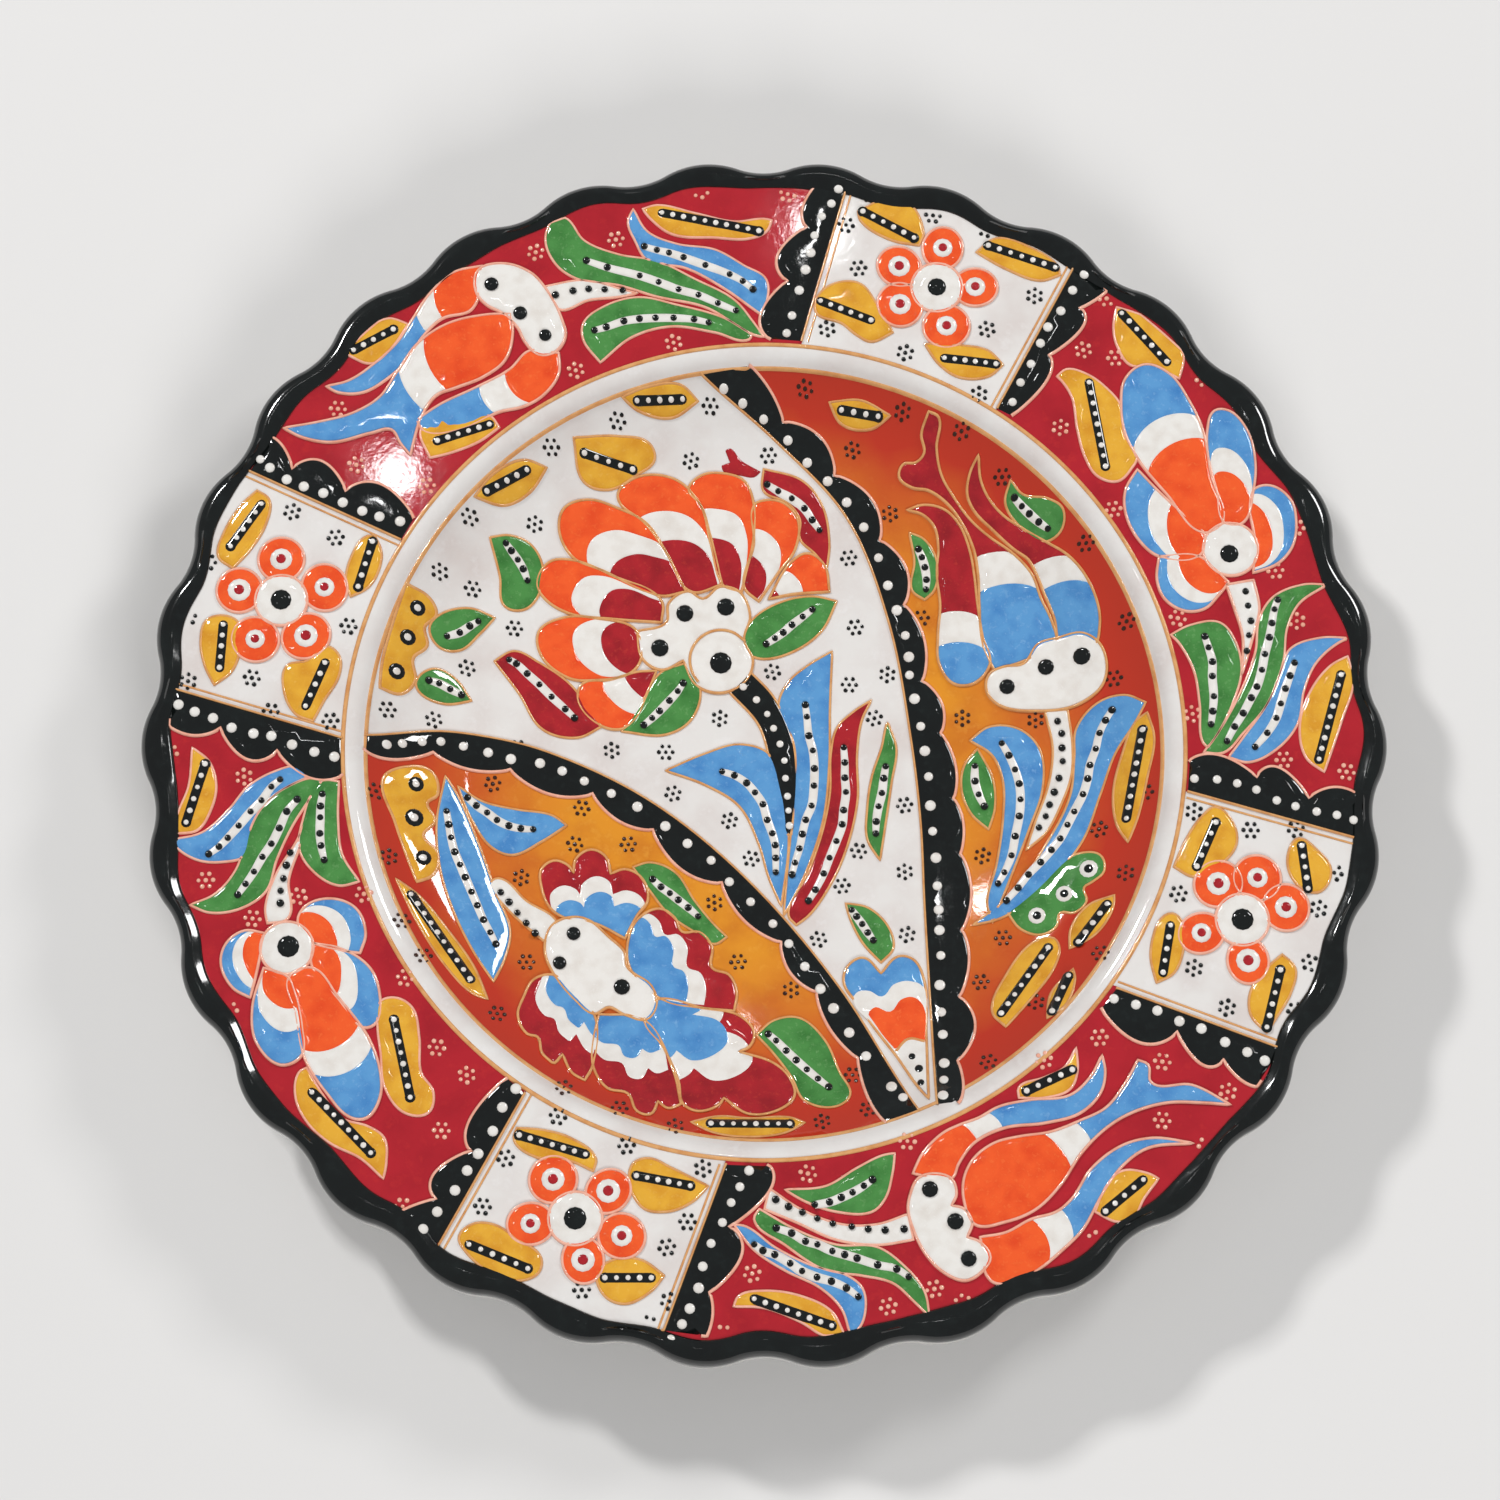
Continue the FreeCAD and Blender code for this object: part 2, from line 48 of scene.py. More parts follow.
SCALLOP_RADIUS = 16.4
LOBE_CENTRE = 108.1
VALLEY_CENTRE = 138.3
LOBE_HALF_TURN = 0.0538
FLOOR_HEIGHT = 9.0
FLOOR_RADIUS = 400
WALL_CENTRE = (53.21, 52.255)
WALL_START = (59, 13.375)
WALL_END = (81, 24.455)
SHOULDER_CENTRE = (84.536, 20.92)
RIM_HEIGHT = 25.92


def outline_radius(angle, outset=0.0):
    """Radius in mm of the scalloped edge: lobes and valleys are arcs, tangent to each other."""
    pitch = 2 * math.pi / LOBES
    turn = abs((angle + pitch / 2) % pitch - pitch / 2)
    root = (SCALLOP_RADIUS + outset) ** 2 - (LOBE_CENTRE * math.sin(turn)) ** 2
    lobe = LOBE_CENTRE * math.cos(turn) + math.sqrt(root)
    back = pitch / 2 - turn
    root = (SCALLOP_RADIUS - outset) ** 2 - (VALLEY_CENTRE * math.sin(back)) ** 2
    if root <= 0:
        return lobe
    valley = VALLEY_CENTRE * math.cos(back) - math.sqrt(root)
    return lobe if turn < LOBE_HALF_TURN else valley


def arc(start, end, centre, count):
    """Points of a section arc from start to end about centre, the shorter way round."""
    first = math.atan2(start[1] - centre[1], start[0] - centre[0])
    last = math.atan2(end[1] - centre[1], end[0] - centre[0])
    sweep = (last - first + math.pi) % (2 * math.pi) - math.pi
    size = math.hypot(start[0] - centre[0], start[1] - centre[1])
    angles = [first + sweep * i / count for i in range(count + 1)]
    return [(centre[0] + size * math.cos(a), centre[1] + size * math.sin(a)) for a in angles]


def new_mesh(name, verts, faces, finish, slot):
    """A smooth-shaded mesh from points in mm, riding on the plate and wearing one finish."""
    mesh = bpy.data.meshes.new(name)
    mesh.from_pydata([(x / 1000, y / 1000, z / 1000) for x, y, z in verts], [], faces)
    mesh.update()
    mesh.shade_smooth()
    mesh.materials.append(finish)
    piece = bpy.data.objects.new(name, mesh)
    bpy.context.scene.collection.objects.link(piece)
    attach(piece, "root")
    return piece


def swept(section, steps=720, closed=True):
    """Turn a section of (radius, height, share of the scalloping) into vertices and quads."""
    verts = []
    for i in range(steps):
        angle = 2 * math.pi * i / steps
        wave = outline_radius(angle) - TIP_RADIUS
        for radius, height, share in section:
            r = radius + share * wave
            verts.append((r * math.cos(angle), r * math.sin(angle), height))
    rows = len(section)
    last = rows if closed else rows - 1
    faces = []
    for i in range(steps):
        after = (i + 1) % steps
        for j in range(last):
            k = (j + 1) % rows
            faces.append((i * rows + j, after * rows + j, after * rows + k, i * rows + k))
    return verts, faces


def rgb(code):
    """A hex sRGB colour as linear values."""
    parts = [int(code[i:i + 2], 16) / 255 for i in (0, 2, 4)]
    linear = [c / 12.92 if c <= 0.04045 else ((c + 0.055) / 1.055) ** 2.4 for c in parts]
    return (*linear, 1.0)


def node(tree, kind, settings=None, **inputs):
    """Add one shader node; each input is a value or another node's output socket."""
    made = tree.nodes.new(kind)
    for key, value in (settings or {}).items():
        setattr(made, key, value)
    for key, value in inputs.items():
        index = int(key[2:]) if key.startswith("in") and key[2:].isdigit() else key.replace("_", " ")
        socket = made.inputs[index]
        if isinstance(value, bpy.types.NodeSocket):
            tree.links.new(value, socket)
        else:
            socket.default_value = value
    return made


def blend(tree, share, low, high):
    """Mix two colours by a share."""
    made = tree.nodes.new("ShaderNodeMix")
    made.data_type = "RGBA"
    for index, value in ((0, share), (6, low), (7, high)):
        if isinstance(value, bpy.types.NodeSocket):
            tree.links.new(value, made.inputs[index])
        else:
            made.inputs[index].default_value = value
    return made.outputs[2]


def noise(tree, size_mm, detail=3.0, rough=0.55):
    """Value noise whose features are size_mm across."""
    place = node(tree, "ShaderNodeTexCoord").outputs["Object"]
    return node(tree, "ShaderNodeTexNoise", Vector=place, Scale=1000 / size_mm, Detail=detail,
                Roughness=rough).outputs["Fac"]


def ramp(tree, value, low, high):
    """Stretch a value so that low becomes 0 and high becomes 1."""
    return node(tree, "ShaderNodeMapRange", Value=value, From_Min=low, From_Max=high).outputs["Result"]


def glaze(name, main, shade, light, blotch, relief=0.02, roughness=0.045):
    """A glossy fired enamel: a main colour drifting to a darker and a paler one, with a fine ripple."""
    made = bpy.data.materials.new(name)
    made.use_nodes = True
    tree = made.node_tree
    shader = tree.nodes["Principled BSDF"]
    broad = ramp(tree, noise(tree, blotch), 0.42, 0.72)
    fine = ramp(tree, noise(tree, blotch / 4, 4.0, 0.6), 0.54, 0.98)
    dark = blend(tree, broad, rgb(main), rgb(shade))
    full = blend(tree, fine, dark, rgb(light))
    tree.links.new(full, shader.inputs["Base Color"])
    ripple = node(tree, "ShaderNodeBump", Strength=0.35, Distance=relief / 1000,
                  Height=noise(tree, 1.6, 2.0)).outputs["Normal"]
    tree.links.new(ripple, shader.inputs["Normal"])
    shader.inputs["Roughness"].default_value = roughness
    shader.inputs["Coat Weight"].default_value = 0.25
    shader.inputs["Coat Roughness"].default_value = 0.025
    shader.inputs["IOR"].default_value = 1.5
    return made


# White tin glaze on a red-buff body: the foot's standing face is wiped down to the clay.
body_glaze = glaze("white_glazed_earthenware_body", "D9D6D0", "CBC7C0", "E4E1DC", blotch=14.0)
tree = body_glaze.node_tree
shader = tree.nodes["Principled BSDF"]
height = node(tree, "ShaderNodeSeparateXYZ", Vector=node(tree, "ShaderNodeTexCoord").outputs["Object"])
bare = ramp(tree, height.outputs["Z"], 0.0007, 0.0004)
glazed = shader.inputs["Base Color"].links[0].from_socket
tree.links.new(blend(tree, bare, glazed, rgb("B9876A")), shader.inputs["Base Color"])
dull = node(tree, "ShaderNodeMath", {"operation": "MULTIPLY_ADD"}, in0=bare, in1=0.65, in2=0.18)
tree.links.new(dull.outputs["Value"], shader.inputs["Roughness"])

# The section runs from the middle over the face to the lip and back under the plate.
section = [(0.01, FLOOR_HEIGHT, 0)]
floor_centre = FLOOR_HEIGHT + FLOOR_RADIUS
section += [(r, floor_centre - math.sqrt(FLOOR_RADIUS ** 2 - r * r), 0) for r in (12, 24, 36, 48)]
section += [(r, z, 0) for r, z in arc(WALL_START, WALL_END, WALL_CENTRE, 10)]
section += [(r, z, 0) for r, z in arc(WALL_END, (84.54, RIM_HEIGHT), SHOULDER_CENTRE, 4)[1:]]
section += [(118.5, RIM_HEIGHT, 0), (120.3, 26.1, 0.3), (122.2, 26.4, 0.9), (123.8, 25.6, 1)]
section += [(TIP_RADIUS, 24.4, 1)]
section += [(TIP_RADIUS, z, 1) for z in (23.2, 22.0, 20.0, 18.0, 16.4)]
section += [(r, z, 1) for r, z in arc((TIP_RADIUS, 16.4), (122.1, 14.0), (122.1, 16.4), 5)[1:]]
section += [(119.5, 14.1, 0.6), (118.0, 14.6, 0.2), (117.2, 17.5, 0), (116.4, 18.8, 0), (115.0, 19.0, 0)]
section += [(90.0, 19.0, 0), (88.0, 18.9, 0), (82.0, 15.6, 0), (75.0, 11.9, 0), (69.0, 9.3, 0)]
section += [(65.0, 8.0, 0), (63.4, 7.0, 0), (62.4, 3.0, 0), (62.0, 0.7, 0), (61.4, 0.1, 0), (60.6, 0.0, 0)]
section += [(57.2, 0.0, 0), (56.4, 0.2, 0), (55.9, 0.9, 0), (55.2, 4.2, 0), (54.0, 4.9, 0), (40.0, 4.1, 0)]
section += [(20.0, 3.2, 0), (0.01, 3.0, 0)]
body = new_mesh("plate_body_glazed", *swept(section), body_glaze, "fired_clay")
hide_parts("plate_body")

# ---------------------------------------------------------------- lip
# The lip was dipped in black glaze, which runs over its crest and down the upper part of its side
# and stops on the face in an uneven edge. It is thick, and it breaks brown where it is thinnest.
black_glaze = glaze("black_glazed_lip", "0A0D0C", "0F1413", "1A201F", blotch=9.0, relief=0.05, roughness=0.09)
LIP_STEPS = 1080
CREST_ROUND = 3.1
verts, faces = [], []
for i in range(LIP_STEPS):
    angle = 2 * math.pi * i / LIP_STEPS
    out = outline_radius(angle, 0.5)
    drift = 0.55 * math.sin(7 * angle + 1.3) + 0.4 * math.sin(17 * angle) + 0.3 * math.sin(41 * angle + 0.6)
    start = 118.7 + drift + 0.45 * (out - 123.6)
    crest = out - CREST_ROUND
    rows = [(start - 0.05, 26.3), (start + 0.1, 26.75), (start + 0.5, 27.0), (start + 1.0, 27.2)]
    rows += [(max(start + 1.5, crest - 0.9), 27.5), (max(start + 1.9, crest), 27.7)]
    for step in range(1, 8):
        turn = math.pi / 2 * step / 7
        rows.append((crest + CREST_ROUND * math.sin(turn), 24.6 + CREST_ROUND * math.cos(turn)))
    low = 22.5 + 0.5 * math.sin(5 * angle + 0.4) + 0.35 * math.sin(23 * angle)
    rows += [(out, low + 0.5), (out - 0.08, low + 0.1), (out - 0.6, low - 0.05)]
    verts += [(r * math.cos(angle), r * math.sin(angle), z) for r, z in rows]
count = len(rows)
for i in range(LIP_STEPS):
    after = (i + 1) % LIP_STEPS
    faces += [(i * count + j, after * count + j, after * count + j + 1, i * count + j + 1)
              for j in range(count - 1)]
lip = new_mesh("lip_black_glaze", verts, [face[::-1] for face in faces], black_glaze, "black_glaze")
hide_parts("lip_glaze")

# ---------------------------------------------------------------- grounds of the rim and the well
# Flat coats laid first: crimson fields and white panels on the rim, a plain white band on the wall,
# white and two amber grounds in the well. The amber turns red-orange towards the band.
COAT = 0.5
WALL_RADIUS = 39.31
SHOULDER_RADIUS = 5
SHARP_COSINE = 0.17


def face_height(r):
    """Height in mm of the coated face at radius r: floor, wall, shoulder and then the flat rim."""
    r = np.abs(np.asarray(r, float))
    inner, outer = WALL_START[0], WALL_END[0]
    centre, level = SHOULDER_CENTRE
    floor = FLOOR_HEIGHT + FLOOR_RADIUS - np.sqrt(FLOOR_RADIUS ** 2 - np.minimum(r, inner) ** 2)
    wall = WALL_CENTRE[1] - np.sqrt(WALL_RADIUS ** 2 - (np.clip(r, inner, outer) - WALL_CENTRE[0]) ** 2)
    shoulder = level + np.sqrt(SHOULDER_RADIUS ** 2 - (np.clip(r, outer, centre) - centre) ** 2)
    return np.where(r < inner, floor, np.where(r < outer, wall, shoulder)) + COAT


def smooth(points, closed=True):
    """A soft curve through a few points, about 0.7 mm to a step. Turns of over 80 degrees stay sharp."""
    step = 0.7
    p = np.array(points, float)
    n = len(p)
    out = []
    for i in range(n if closed else n - 1):
        a, b = p[i], p[(i + 1) % n]
        before = p[i - 1] if closed or i > 0 else a
        after = p[(i + 2) % n] if closed or i + 2 < n else b
        chord = np.linalg.norm(b - a)
        if chord < 1e-6:
            continue
        leave, arrive = soften(before, a, b, chord), soften(a, b, after, chord)
        count = max(1, int(round(chord / step)))
        for k in range(count):
            t = k / count
            out.append((2 * t ** 3 - 3 * t ** 2 + 1) * a + (t ** 3 - 2 * t ** 2 + t) * leave
                       + (3 * t ** 2 - 2 * t ** 3) * b + (t ** 3 - t ** 2) * arrive)
    if not closed:
        out.append(p[-1])
    return np.array(out)


def soften(before, here, after, chord):
    """Tangent at a point, or along the present chord if the line turns sharply there."""
    u, v = here - before, after - here
    lu, lv = np.linalg.norm(u), np.linalg.norm(v)
    if lu < 1e-6 or lv < 1e-6:
        return (v if lu < 1e-6 else u) * chord / max(lu, lv, 1e-6)
    if np.dot(u, v) / (lu * lv) < SHARP_COSINE:
        present, size = (v, lv) if abs(lv - chord) < abs(lu - chord) else (u, lu)
        return present * chord / size
    mean = u / lu + v / lv
    return mean / np.linalg.norm(mean) * chord


def inside(points, loop):
    """Which points lie inside a closed loop."""
    x, y = points[:, 0][:, None], points[:, 1][:, None]
    x0, y0 = loop[:, 0][None], loop[:, 1][None]
    x1, y1 = np.roll(loop[:, 0], -1)[None], np.roll(loop[:, 1], -1)[None]
    rise = np.where(y1 == y0, 1e-12, y1 - y0)
    hit = ((y0 > y) != (y1 > y)) & (x < (x1 - x0) * (y - y0) / rise + x0)
    return hit.sum(axis=1) % 2 == 1


def distance(points, lines):
    """Distance from each point to the nearest of some polylines, each given with whether it closes."""
    best = np.full(len(points), 1e9)
    for line, closed in lines:
        a = line if closed else line[:-1]
        b = np.roll(line, -1, axis=0) if closed else line[1:]
        for start in range(0, len(a), 200):
            u, v = a[start:start + 200], b[start:start + 200] - a[start:start + 200]
            w = points[:, None] - u[None]
            t = np.clip((w * v).sum(2) / np.maximum((v * v).sum(1), 1e-12), 0, 1)
            gap = np.linalg.norm(w - t[:, :, None] * v, axis=2).min(axis=1)
            best = np.minimum(best, gap)
    return best


def fill(loop, spacing, cuts=(), insets=()):
    """Triangulate a loop: its edge, some closed cuts through it, inset rows and an even grid inside."""
    chains = [(loop, True)] + [(cut, True) for cut in cuts]
    verts, edges = [], []
    for line, _ in chains:
        first = len(verts)
        verts += [Vector(p) for p in line]
        edges += [(first + i, first + (i + 1) % len(line)) for i in range(len(line))]
    extra = []
    for inset in insets:
        for line, _ in chains:
            along = np.roll(line, -1, axis=0) - np.roll(line, 1, axis=0)
            along /= np.maximum(np.linalg.norm(along, axis=1)[:, None], 1e-9)
            side = np.stack([-along[:, 1], along[:, 0]], axis=1)
            for way in (inset, -inset):
                row = line + side * way
                extra.append(row[distance(row, chains) > 0.85 * inset])
    low, high = loop.min(axis=0), loop.max(axis=0)
    xs = np.arange(low[0], high[0] + spacing, spacing)
    ys = np.arange(low[1], high[1] + spacing, spacing * 0.866)
    grid = np.array([(x + (spacing / 2 if j % 2 else 0), y) for j, y in enumerate(ys) for x in xs])
    clear = (insets[-1] if insets else 0) + spacing * 0.45
    extra.append(grid[distance(grid, chains) > clear])
    extra = np.concatenate(extra)
    extra = extra[inside(extra, loop)]
    verts += [Vector(p) for p in extra]
    points, _, faces, _, _, _ = delaunay_2d_cdt(verts, edges, [], 0, 1e-4)
    points = np.array([tuple(p) for p in points])
    faces = np.array(faces)
    middle = points[faces].mean(axis=1)
    return points, faces[inside(middle, loop)]


# The vertices and faces of each group and colour, until its pieces are made.
paint = {}


def put(group, colour, verts, faces):
    """Add vertices and faces to a group's colour."""
    bucket = paint.setdefault((group, colour), ([], []))
    first = len(bucket[0])
    bucket[0].extend(map(tuple, verts))
    bucket[1].extend(tuple(int(i) + first for i in face) for face in faces)


def coat(group, colour, loop, spacing=3.0):
    """A flat coat over the face inside a loop."""
    points, faces = fill(loop, spacing)
    z = face_height(np.hypot(points[:, 0], points[:, 1]))
    put(group, colour, np.column_stack([points, z]), faces)


def polar_arc(radius, start, end, step=1.2):
    """Points of a circle about the plate's middle between two angles in radians."""
    count = max(2, int(abs(end - start) * radius / step))
    return [(radius * math.cos(start + (end - start) * i / count),
             radius * math.sin(start + (end - start) * i / count)) for i in range(count + 1)]


# The bars' straight sides, from the ring to the lip, and the side on which each is scalloped.
BARS = [
    ((7.7, 85.0), (17.5, 120.0)),
    ((47.6, 70.5), (64.0, 101.5)),
    ((84.5, -10.0), (117.5, -19.5)),
    ((69.5, -50.0), (102.0, -62.3)),
    ((-7.5, -85.0), (-20.5, -120.3)),
    ((-47.0, -71.0), (-64.5, -103.0)),
    ((-84.5, 1.0), (-120.5, 11.8)),
    ((-73.5, 42.5), (-105.5, 57.5)),
]


def bearing(point):
    """Angle in radians of a point about the plate's middle."""
    return math.atan2(point[1], point[0])


def rim_piece(first, second):
    """The rim between two bars' straight sides, clockwise from the first bar."""
    a0, a1 = bearing(BARS[first][0]), bearing(BARS[first][1])
    b0, b1 = bearing(BARS[second][0]), bearing(BARS[second][1])
    while b0 > a0:
        b0 -= 2 * math.pi
    while b1 > a1:
        b1 -= 2 * math.pi
    return np.array(polar_arc(84.3, a0, b0) + polar_arc(120.9, b1, a1))


PANELS = [
    ("rim_panel_top_right", 0, 1),
    ("rim_panel_right", 2, 3),
    ("rim_panel_bottom_left", 4, 5),
    ("rim_panel_left", 6, 7),
]
FIELDS = [
    ("rim_field_right", 1, 2),
    ("rim_field_bottom_right", 3, 4),
    ("rim_field_bottom_left", 5, 6),
    ("rim_field_top_left", 7, 0),
]
for name, first, second in PANELS:
    coat(name, "white", rim_piece(first, second), 6.0)
for name, first, second in FIELDS:
    coat(name, "crimson", rim_piece(first, second), 6.0)

# The band on the wall runs from the well's edge over the shoulder to the rim.
rows = [(r, float(face_height(r)), 0) for r in np.linspace(79.6, 84.8, 14)]
verts, faces = swept(rows, steps=360, closed=False)
put("ring_glaze", "white", verts, [face[::-1] for face in faces])

# The sweeps part the well: white above both, amber to the right of one and below the other.
RIGHT_SWEEP = smooth([(-13, 79), (2.5, 67), (17, 51.5), (25.5, 30), (30, 5), (31.8, -12.5), (32.4, -30),
                      (33.4, -54), (34, -73)], closed=False)
LOWER_SWEEP = smooth([(-80.2, 2.2), (-66, 5.2), (-55, 4.4), (-44, 1.8), (-24, -7.5), (-5, -22.8),
                      (15, -47), (30.5, -74.2)], closed=False)


def well_arc(start, end):
    """The well's edge from one point to another, turning anticlockwise."""
    a, b = bearing(start), bearing(end)
    if b < a:
        b += 2 * math.pi
    return np.array(polar_arc(80.3, a, b)[1:-1])


ground = np.concatenate([RIGHT_SWEEP[::-1], well_arc(RIGHT_SWEEP[0], LOWER_SWEEP[0]), LOWER_SWEEP,
                         well_arc(LOWER_SWEEP[-1], RIGHT_SWEEP[-1])])
amber_right = np.concatenate([RIGHT_SWEEP, well_arc(RIGHT_SWEEP[-1], RIGHT_SWEEP[0])])
amber_lower = np.concatenate([LOWER_SWEEP[::-1], well_arc(LOWER_SWEEP[0], LOWER_SWEEP[-1])])
coat("well_ground", "white", ground)
coat("amber_field_right", "amber", amber_right)
coat("amber_field_lower", "amber", amber_lower)

# ---------------------------------------------------------------- enamel colours
# Enamels fired over the white glaze: each pools at its edges and thins on its crest, so each drifts
# between a darker and a paler tone. All are glossy.
FINISH = {
    "white": (glaze("white_tin_glaze", "E0DCD8", "D3C9C4", "EAE8E6", blotch=12.0), "white_glaze"),
    "cream": (glaze("white_trailed_enamel", "E6E2DC", "DAD3CB", "F0EEEA", relief=0.008, blotch=3.0),
              "white_glaze"),
    "black": (glaze("black_trailed_enamel", "0A0D0C", "0F1413", "1C2322", blotch=6.0), "black_glaze"),
    "umber": (glaze("dark_umber_enamel", "3A1D12", "26130D", "5A3018", blotch=3.0), "black_glaze"),
    "crimson": (glaze("crimson_ground_glaze", "AE1C28", "9C1522", "C22A2C", blotch=9.0), "crimson_enamel"),
    "darkred": (glaze("dark_red_enamel", "A81D26", "8C141E", "C93A30", blotch=4.0), "crimson_enamel"),
    "orange": (glaze("orange_enamel", "EE5A24", "DF4418", "F67E3C", blotch=4.0), "orange_enamel"),
    "blue": (glaze("sky_blue_enamel", "5A97CC", "3F7DBB", "8DBBE0", blotch=4.0), "blue_enamel"),
    "green": (glaze("leaf_green_enamel", "4A8A44", "33702F", "7DB070", blotch=4.0), "green_enamel"),
    "mustard": (glaze("mustard_enamel", "E2A833", "CF8B20", "EFC35C", blotch=4.0), "mustard_enamel"),
    "pink": (glaze("pink_slip_line", "EFB39C", "E39A80", "F8D0BE", blotch=2.5), "slip_line"),
    "tan": (glaze("tan_slip_line", "DBA268", "C9874E", "ECC294", blotch=2.5), "slip_line"),
}

# Amber ground: yellow-brown over the floor, red-orange from 50 to 83 mm out, where the wall steepens.
amber = glaze("amber_ground_glaze", "DC8E22", "C9751A", "EBA83C", blotch=8.0)
tree = amber.node_tree
shader = tree.nodes["Principled BSDF"]
place = node(tree, "ShaderNodeTexCoord").outputs["Object"]
flat = node(tree, "ShaderNodeVectorMath", {"operation": "MULTIPLY"}, in0=place, in1=(1, 1, 0))
reach = node(tree, "ShaderNodeVectorMath", {"operation": "LENGTH"}, in0=flat.outputs["Vector"])
edge = node(tree, "ShaderNodeMath", {"operation": "MULTIPLY_ADD"}, in0=noise(tree, 22.0), in1=0.02,
            in2=reach.outputs["Value"])
share = ramp(tree, edge.outputs["Value"], 0.050, 0.083)
base = shader.inputs["Base Color"].links[0].from_socket
tree.links.new(blend(tree, share, base, rgb("BC331D")), shader.inputs["Base Color"])
FINISH["amber"] = (amber, "amber_enamel")


def lay(group, *nodes):
    """Make the group's pieces, one for each colour, and hide the CAD nodes that they cover."""
    for key in sorted(k for k in paint if k[0] == group):
        verts, faces = paint.pop(key)
        finish, slot = FINISH[key[1]]
        new_mesh("%s.%s" % key, verts, faces, finish, slot)
    if nodes:
        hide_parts(*nodes)


for name, _, _ in PANELS + FIELDS:
    lay(name, name)
for name in ("ring_glaze", "well_ground", "amber_field_right", "amber_field_lower"):
    lay(name, name)

# ---------------------------------------------------------------- black bars
# Thick black bars part the panels from the fields and the well's three grounds. One side of each is
# smooth and the other scalloped, and a row of white beads runs along the middle.
LIP_REACH = 119.3
SINK = 0.06


def dome(gap, edge):
    """Share of full thickness at a distance from the edge: a quarter-round shoulder."""
    share = np.clip(gap / edge, 0, 1)
    return np.sqrt(np.clip(1 - (1 - share) ** 2, 0, 1))


def kept(points):
    """Pull in the points that would run over the lip."""
    points = np.asarray(points, float)
    reach = np.hypot(points[:, 0], points[:, 1])[:, None]
    return points * np.minimum(1, LIP_REACH / np.maximum(reach, 1e-9))


def deposit(group, colour, loop, height, edge, base=0.0, spacing=2.2):
    """A thick pool of enamel inside a loop, rounded down to the surface all round its edge."""
    loop = kept(loop)
    points, faces = fill(loop, spacing, insets=(0.07 * edge, 0.25 * edge, 0.6 * edge))
    gap = distance(points, [(loop, True)])
    z = face_height(np.hypot(points[:, 0], points[:, 1])) + base - SINK + (height + SINK) * dome(gap, edge)
    put(group, colour, np.column_stack([points, z]), faces)


def line(group, colour, path, width, height, base=0.0, closed=True, taper=False):
    """A trailed line of slip: a half-round ridge along a path."""
    path = kept(path)
    if closed:
        along = np.roll(path, -1, axis=0) - np.roll(path, 1, axis=0)
    else:
        along = np.gradient(path, axis=0)
    along /= np.maximum(np.linalg.norm(along, axis=1)[:, None], 1e-9)
    side = np.stack([-along[:, 1], along[:, 0]], axis=1)
    n = len(path)
    thick = np.full(n, width)
    if taper:
        thick = width * (0.45 + 0.55 * np.sin(np.pi * np.linspace(0.12, 0.93, n)) ** 0.6)
    verts, faces = [], []
    for across, rise in ((-1.0, -0.1), (-0.8, 0.6), (-0.35, 0.94), (0.35, 0.94), (0.8, 0.6), (1.0, -0.1)):
        row = path + side * (across * thick / 2)[:, None]
        z = face_height(np.hypot(row[:, 0], row[:, 1])) + base + rise * height
        verts.append(np.column_stack([row, z]))
    verts = np.concatenate(verts)
    for j in range(5):
        for i in range(n if closed else n - 1):
            k = (i + 1) % n
            faces.append((j * n + i, j * n + k, (j + 1) * n + k, (j + 1) * n + i))
    put(group, colour, verts, [face[::-1] for face in faces])


def dots(group, colour, places, radius, height, base=0.0):
    """Round beads of enamel, each a low dome tilted with the face."""
    sides = 12
    for number, (cx, cy) in enumerate(places):
        size = radius * (1 + 0.1 * math.sin(2.4 * number + cx))
        away = math.hypot(cx, cy)
        level = float(face_height(away)) + base
        verts, faces = [], []
        for ring, (share, rise) in enumerate(((1.0, -0.12), (0.93, 0.42), (0.7, 0.76), (0.38, 0.95))):
            for k in range(sides):
                angle = 2 * math.pi * k / sides
                x, y = cx + size * share * math.cos(angle), cy + size * share * math.sin(angle)
                verts.append((x, y, level + rise * height))
            if ring:
                faces += [((ring - 1) * sides + k, (ring - 1) * sides + (k + 1) % sides,
                           ring * sides + (k + 1) % sides, ring * sides + k) for k in range(sides)]
        verts.append((cx, cy, level + height))
        faces += [(3 * sides + k, 3 * sides + (k + 1) % sides, 4 * sides) for k in range(sides)]
        slope = float(face_height(away + 0.5)) - float(face_height(away - 0.5))
        tilted = [(x, y, z + slope * (math.hypot(x, y) - away)) for x, y, z in verts]
        put(group, colour, tilted, faces)


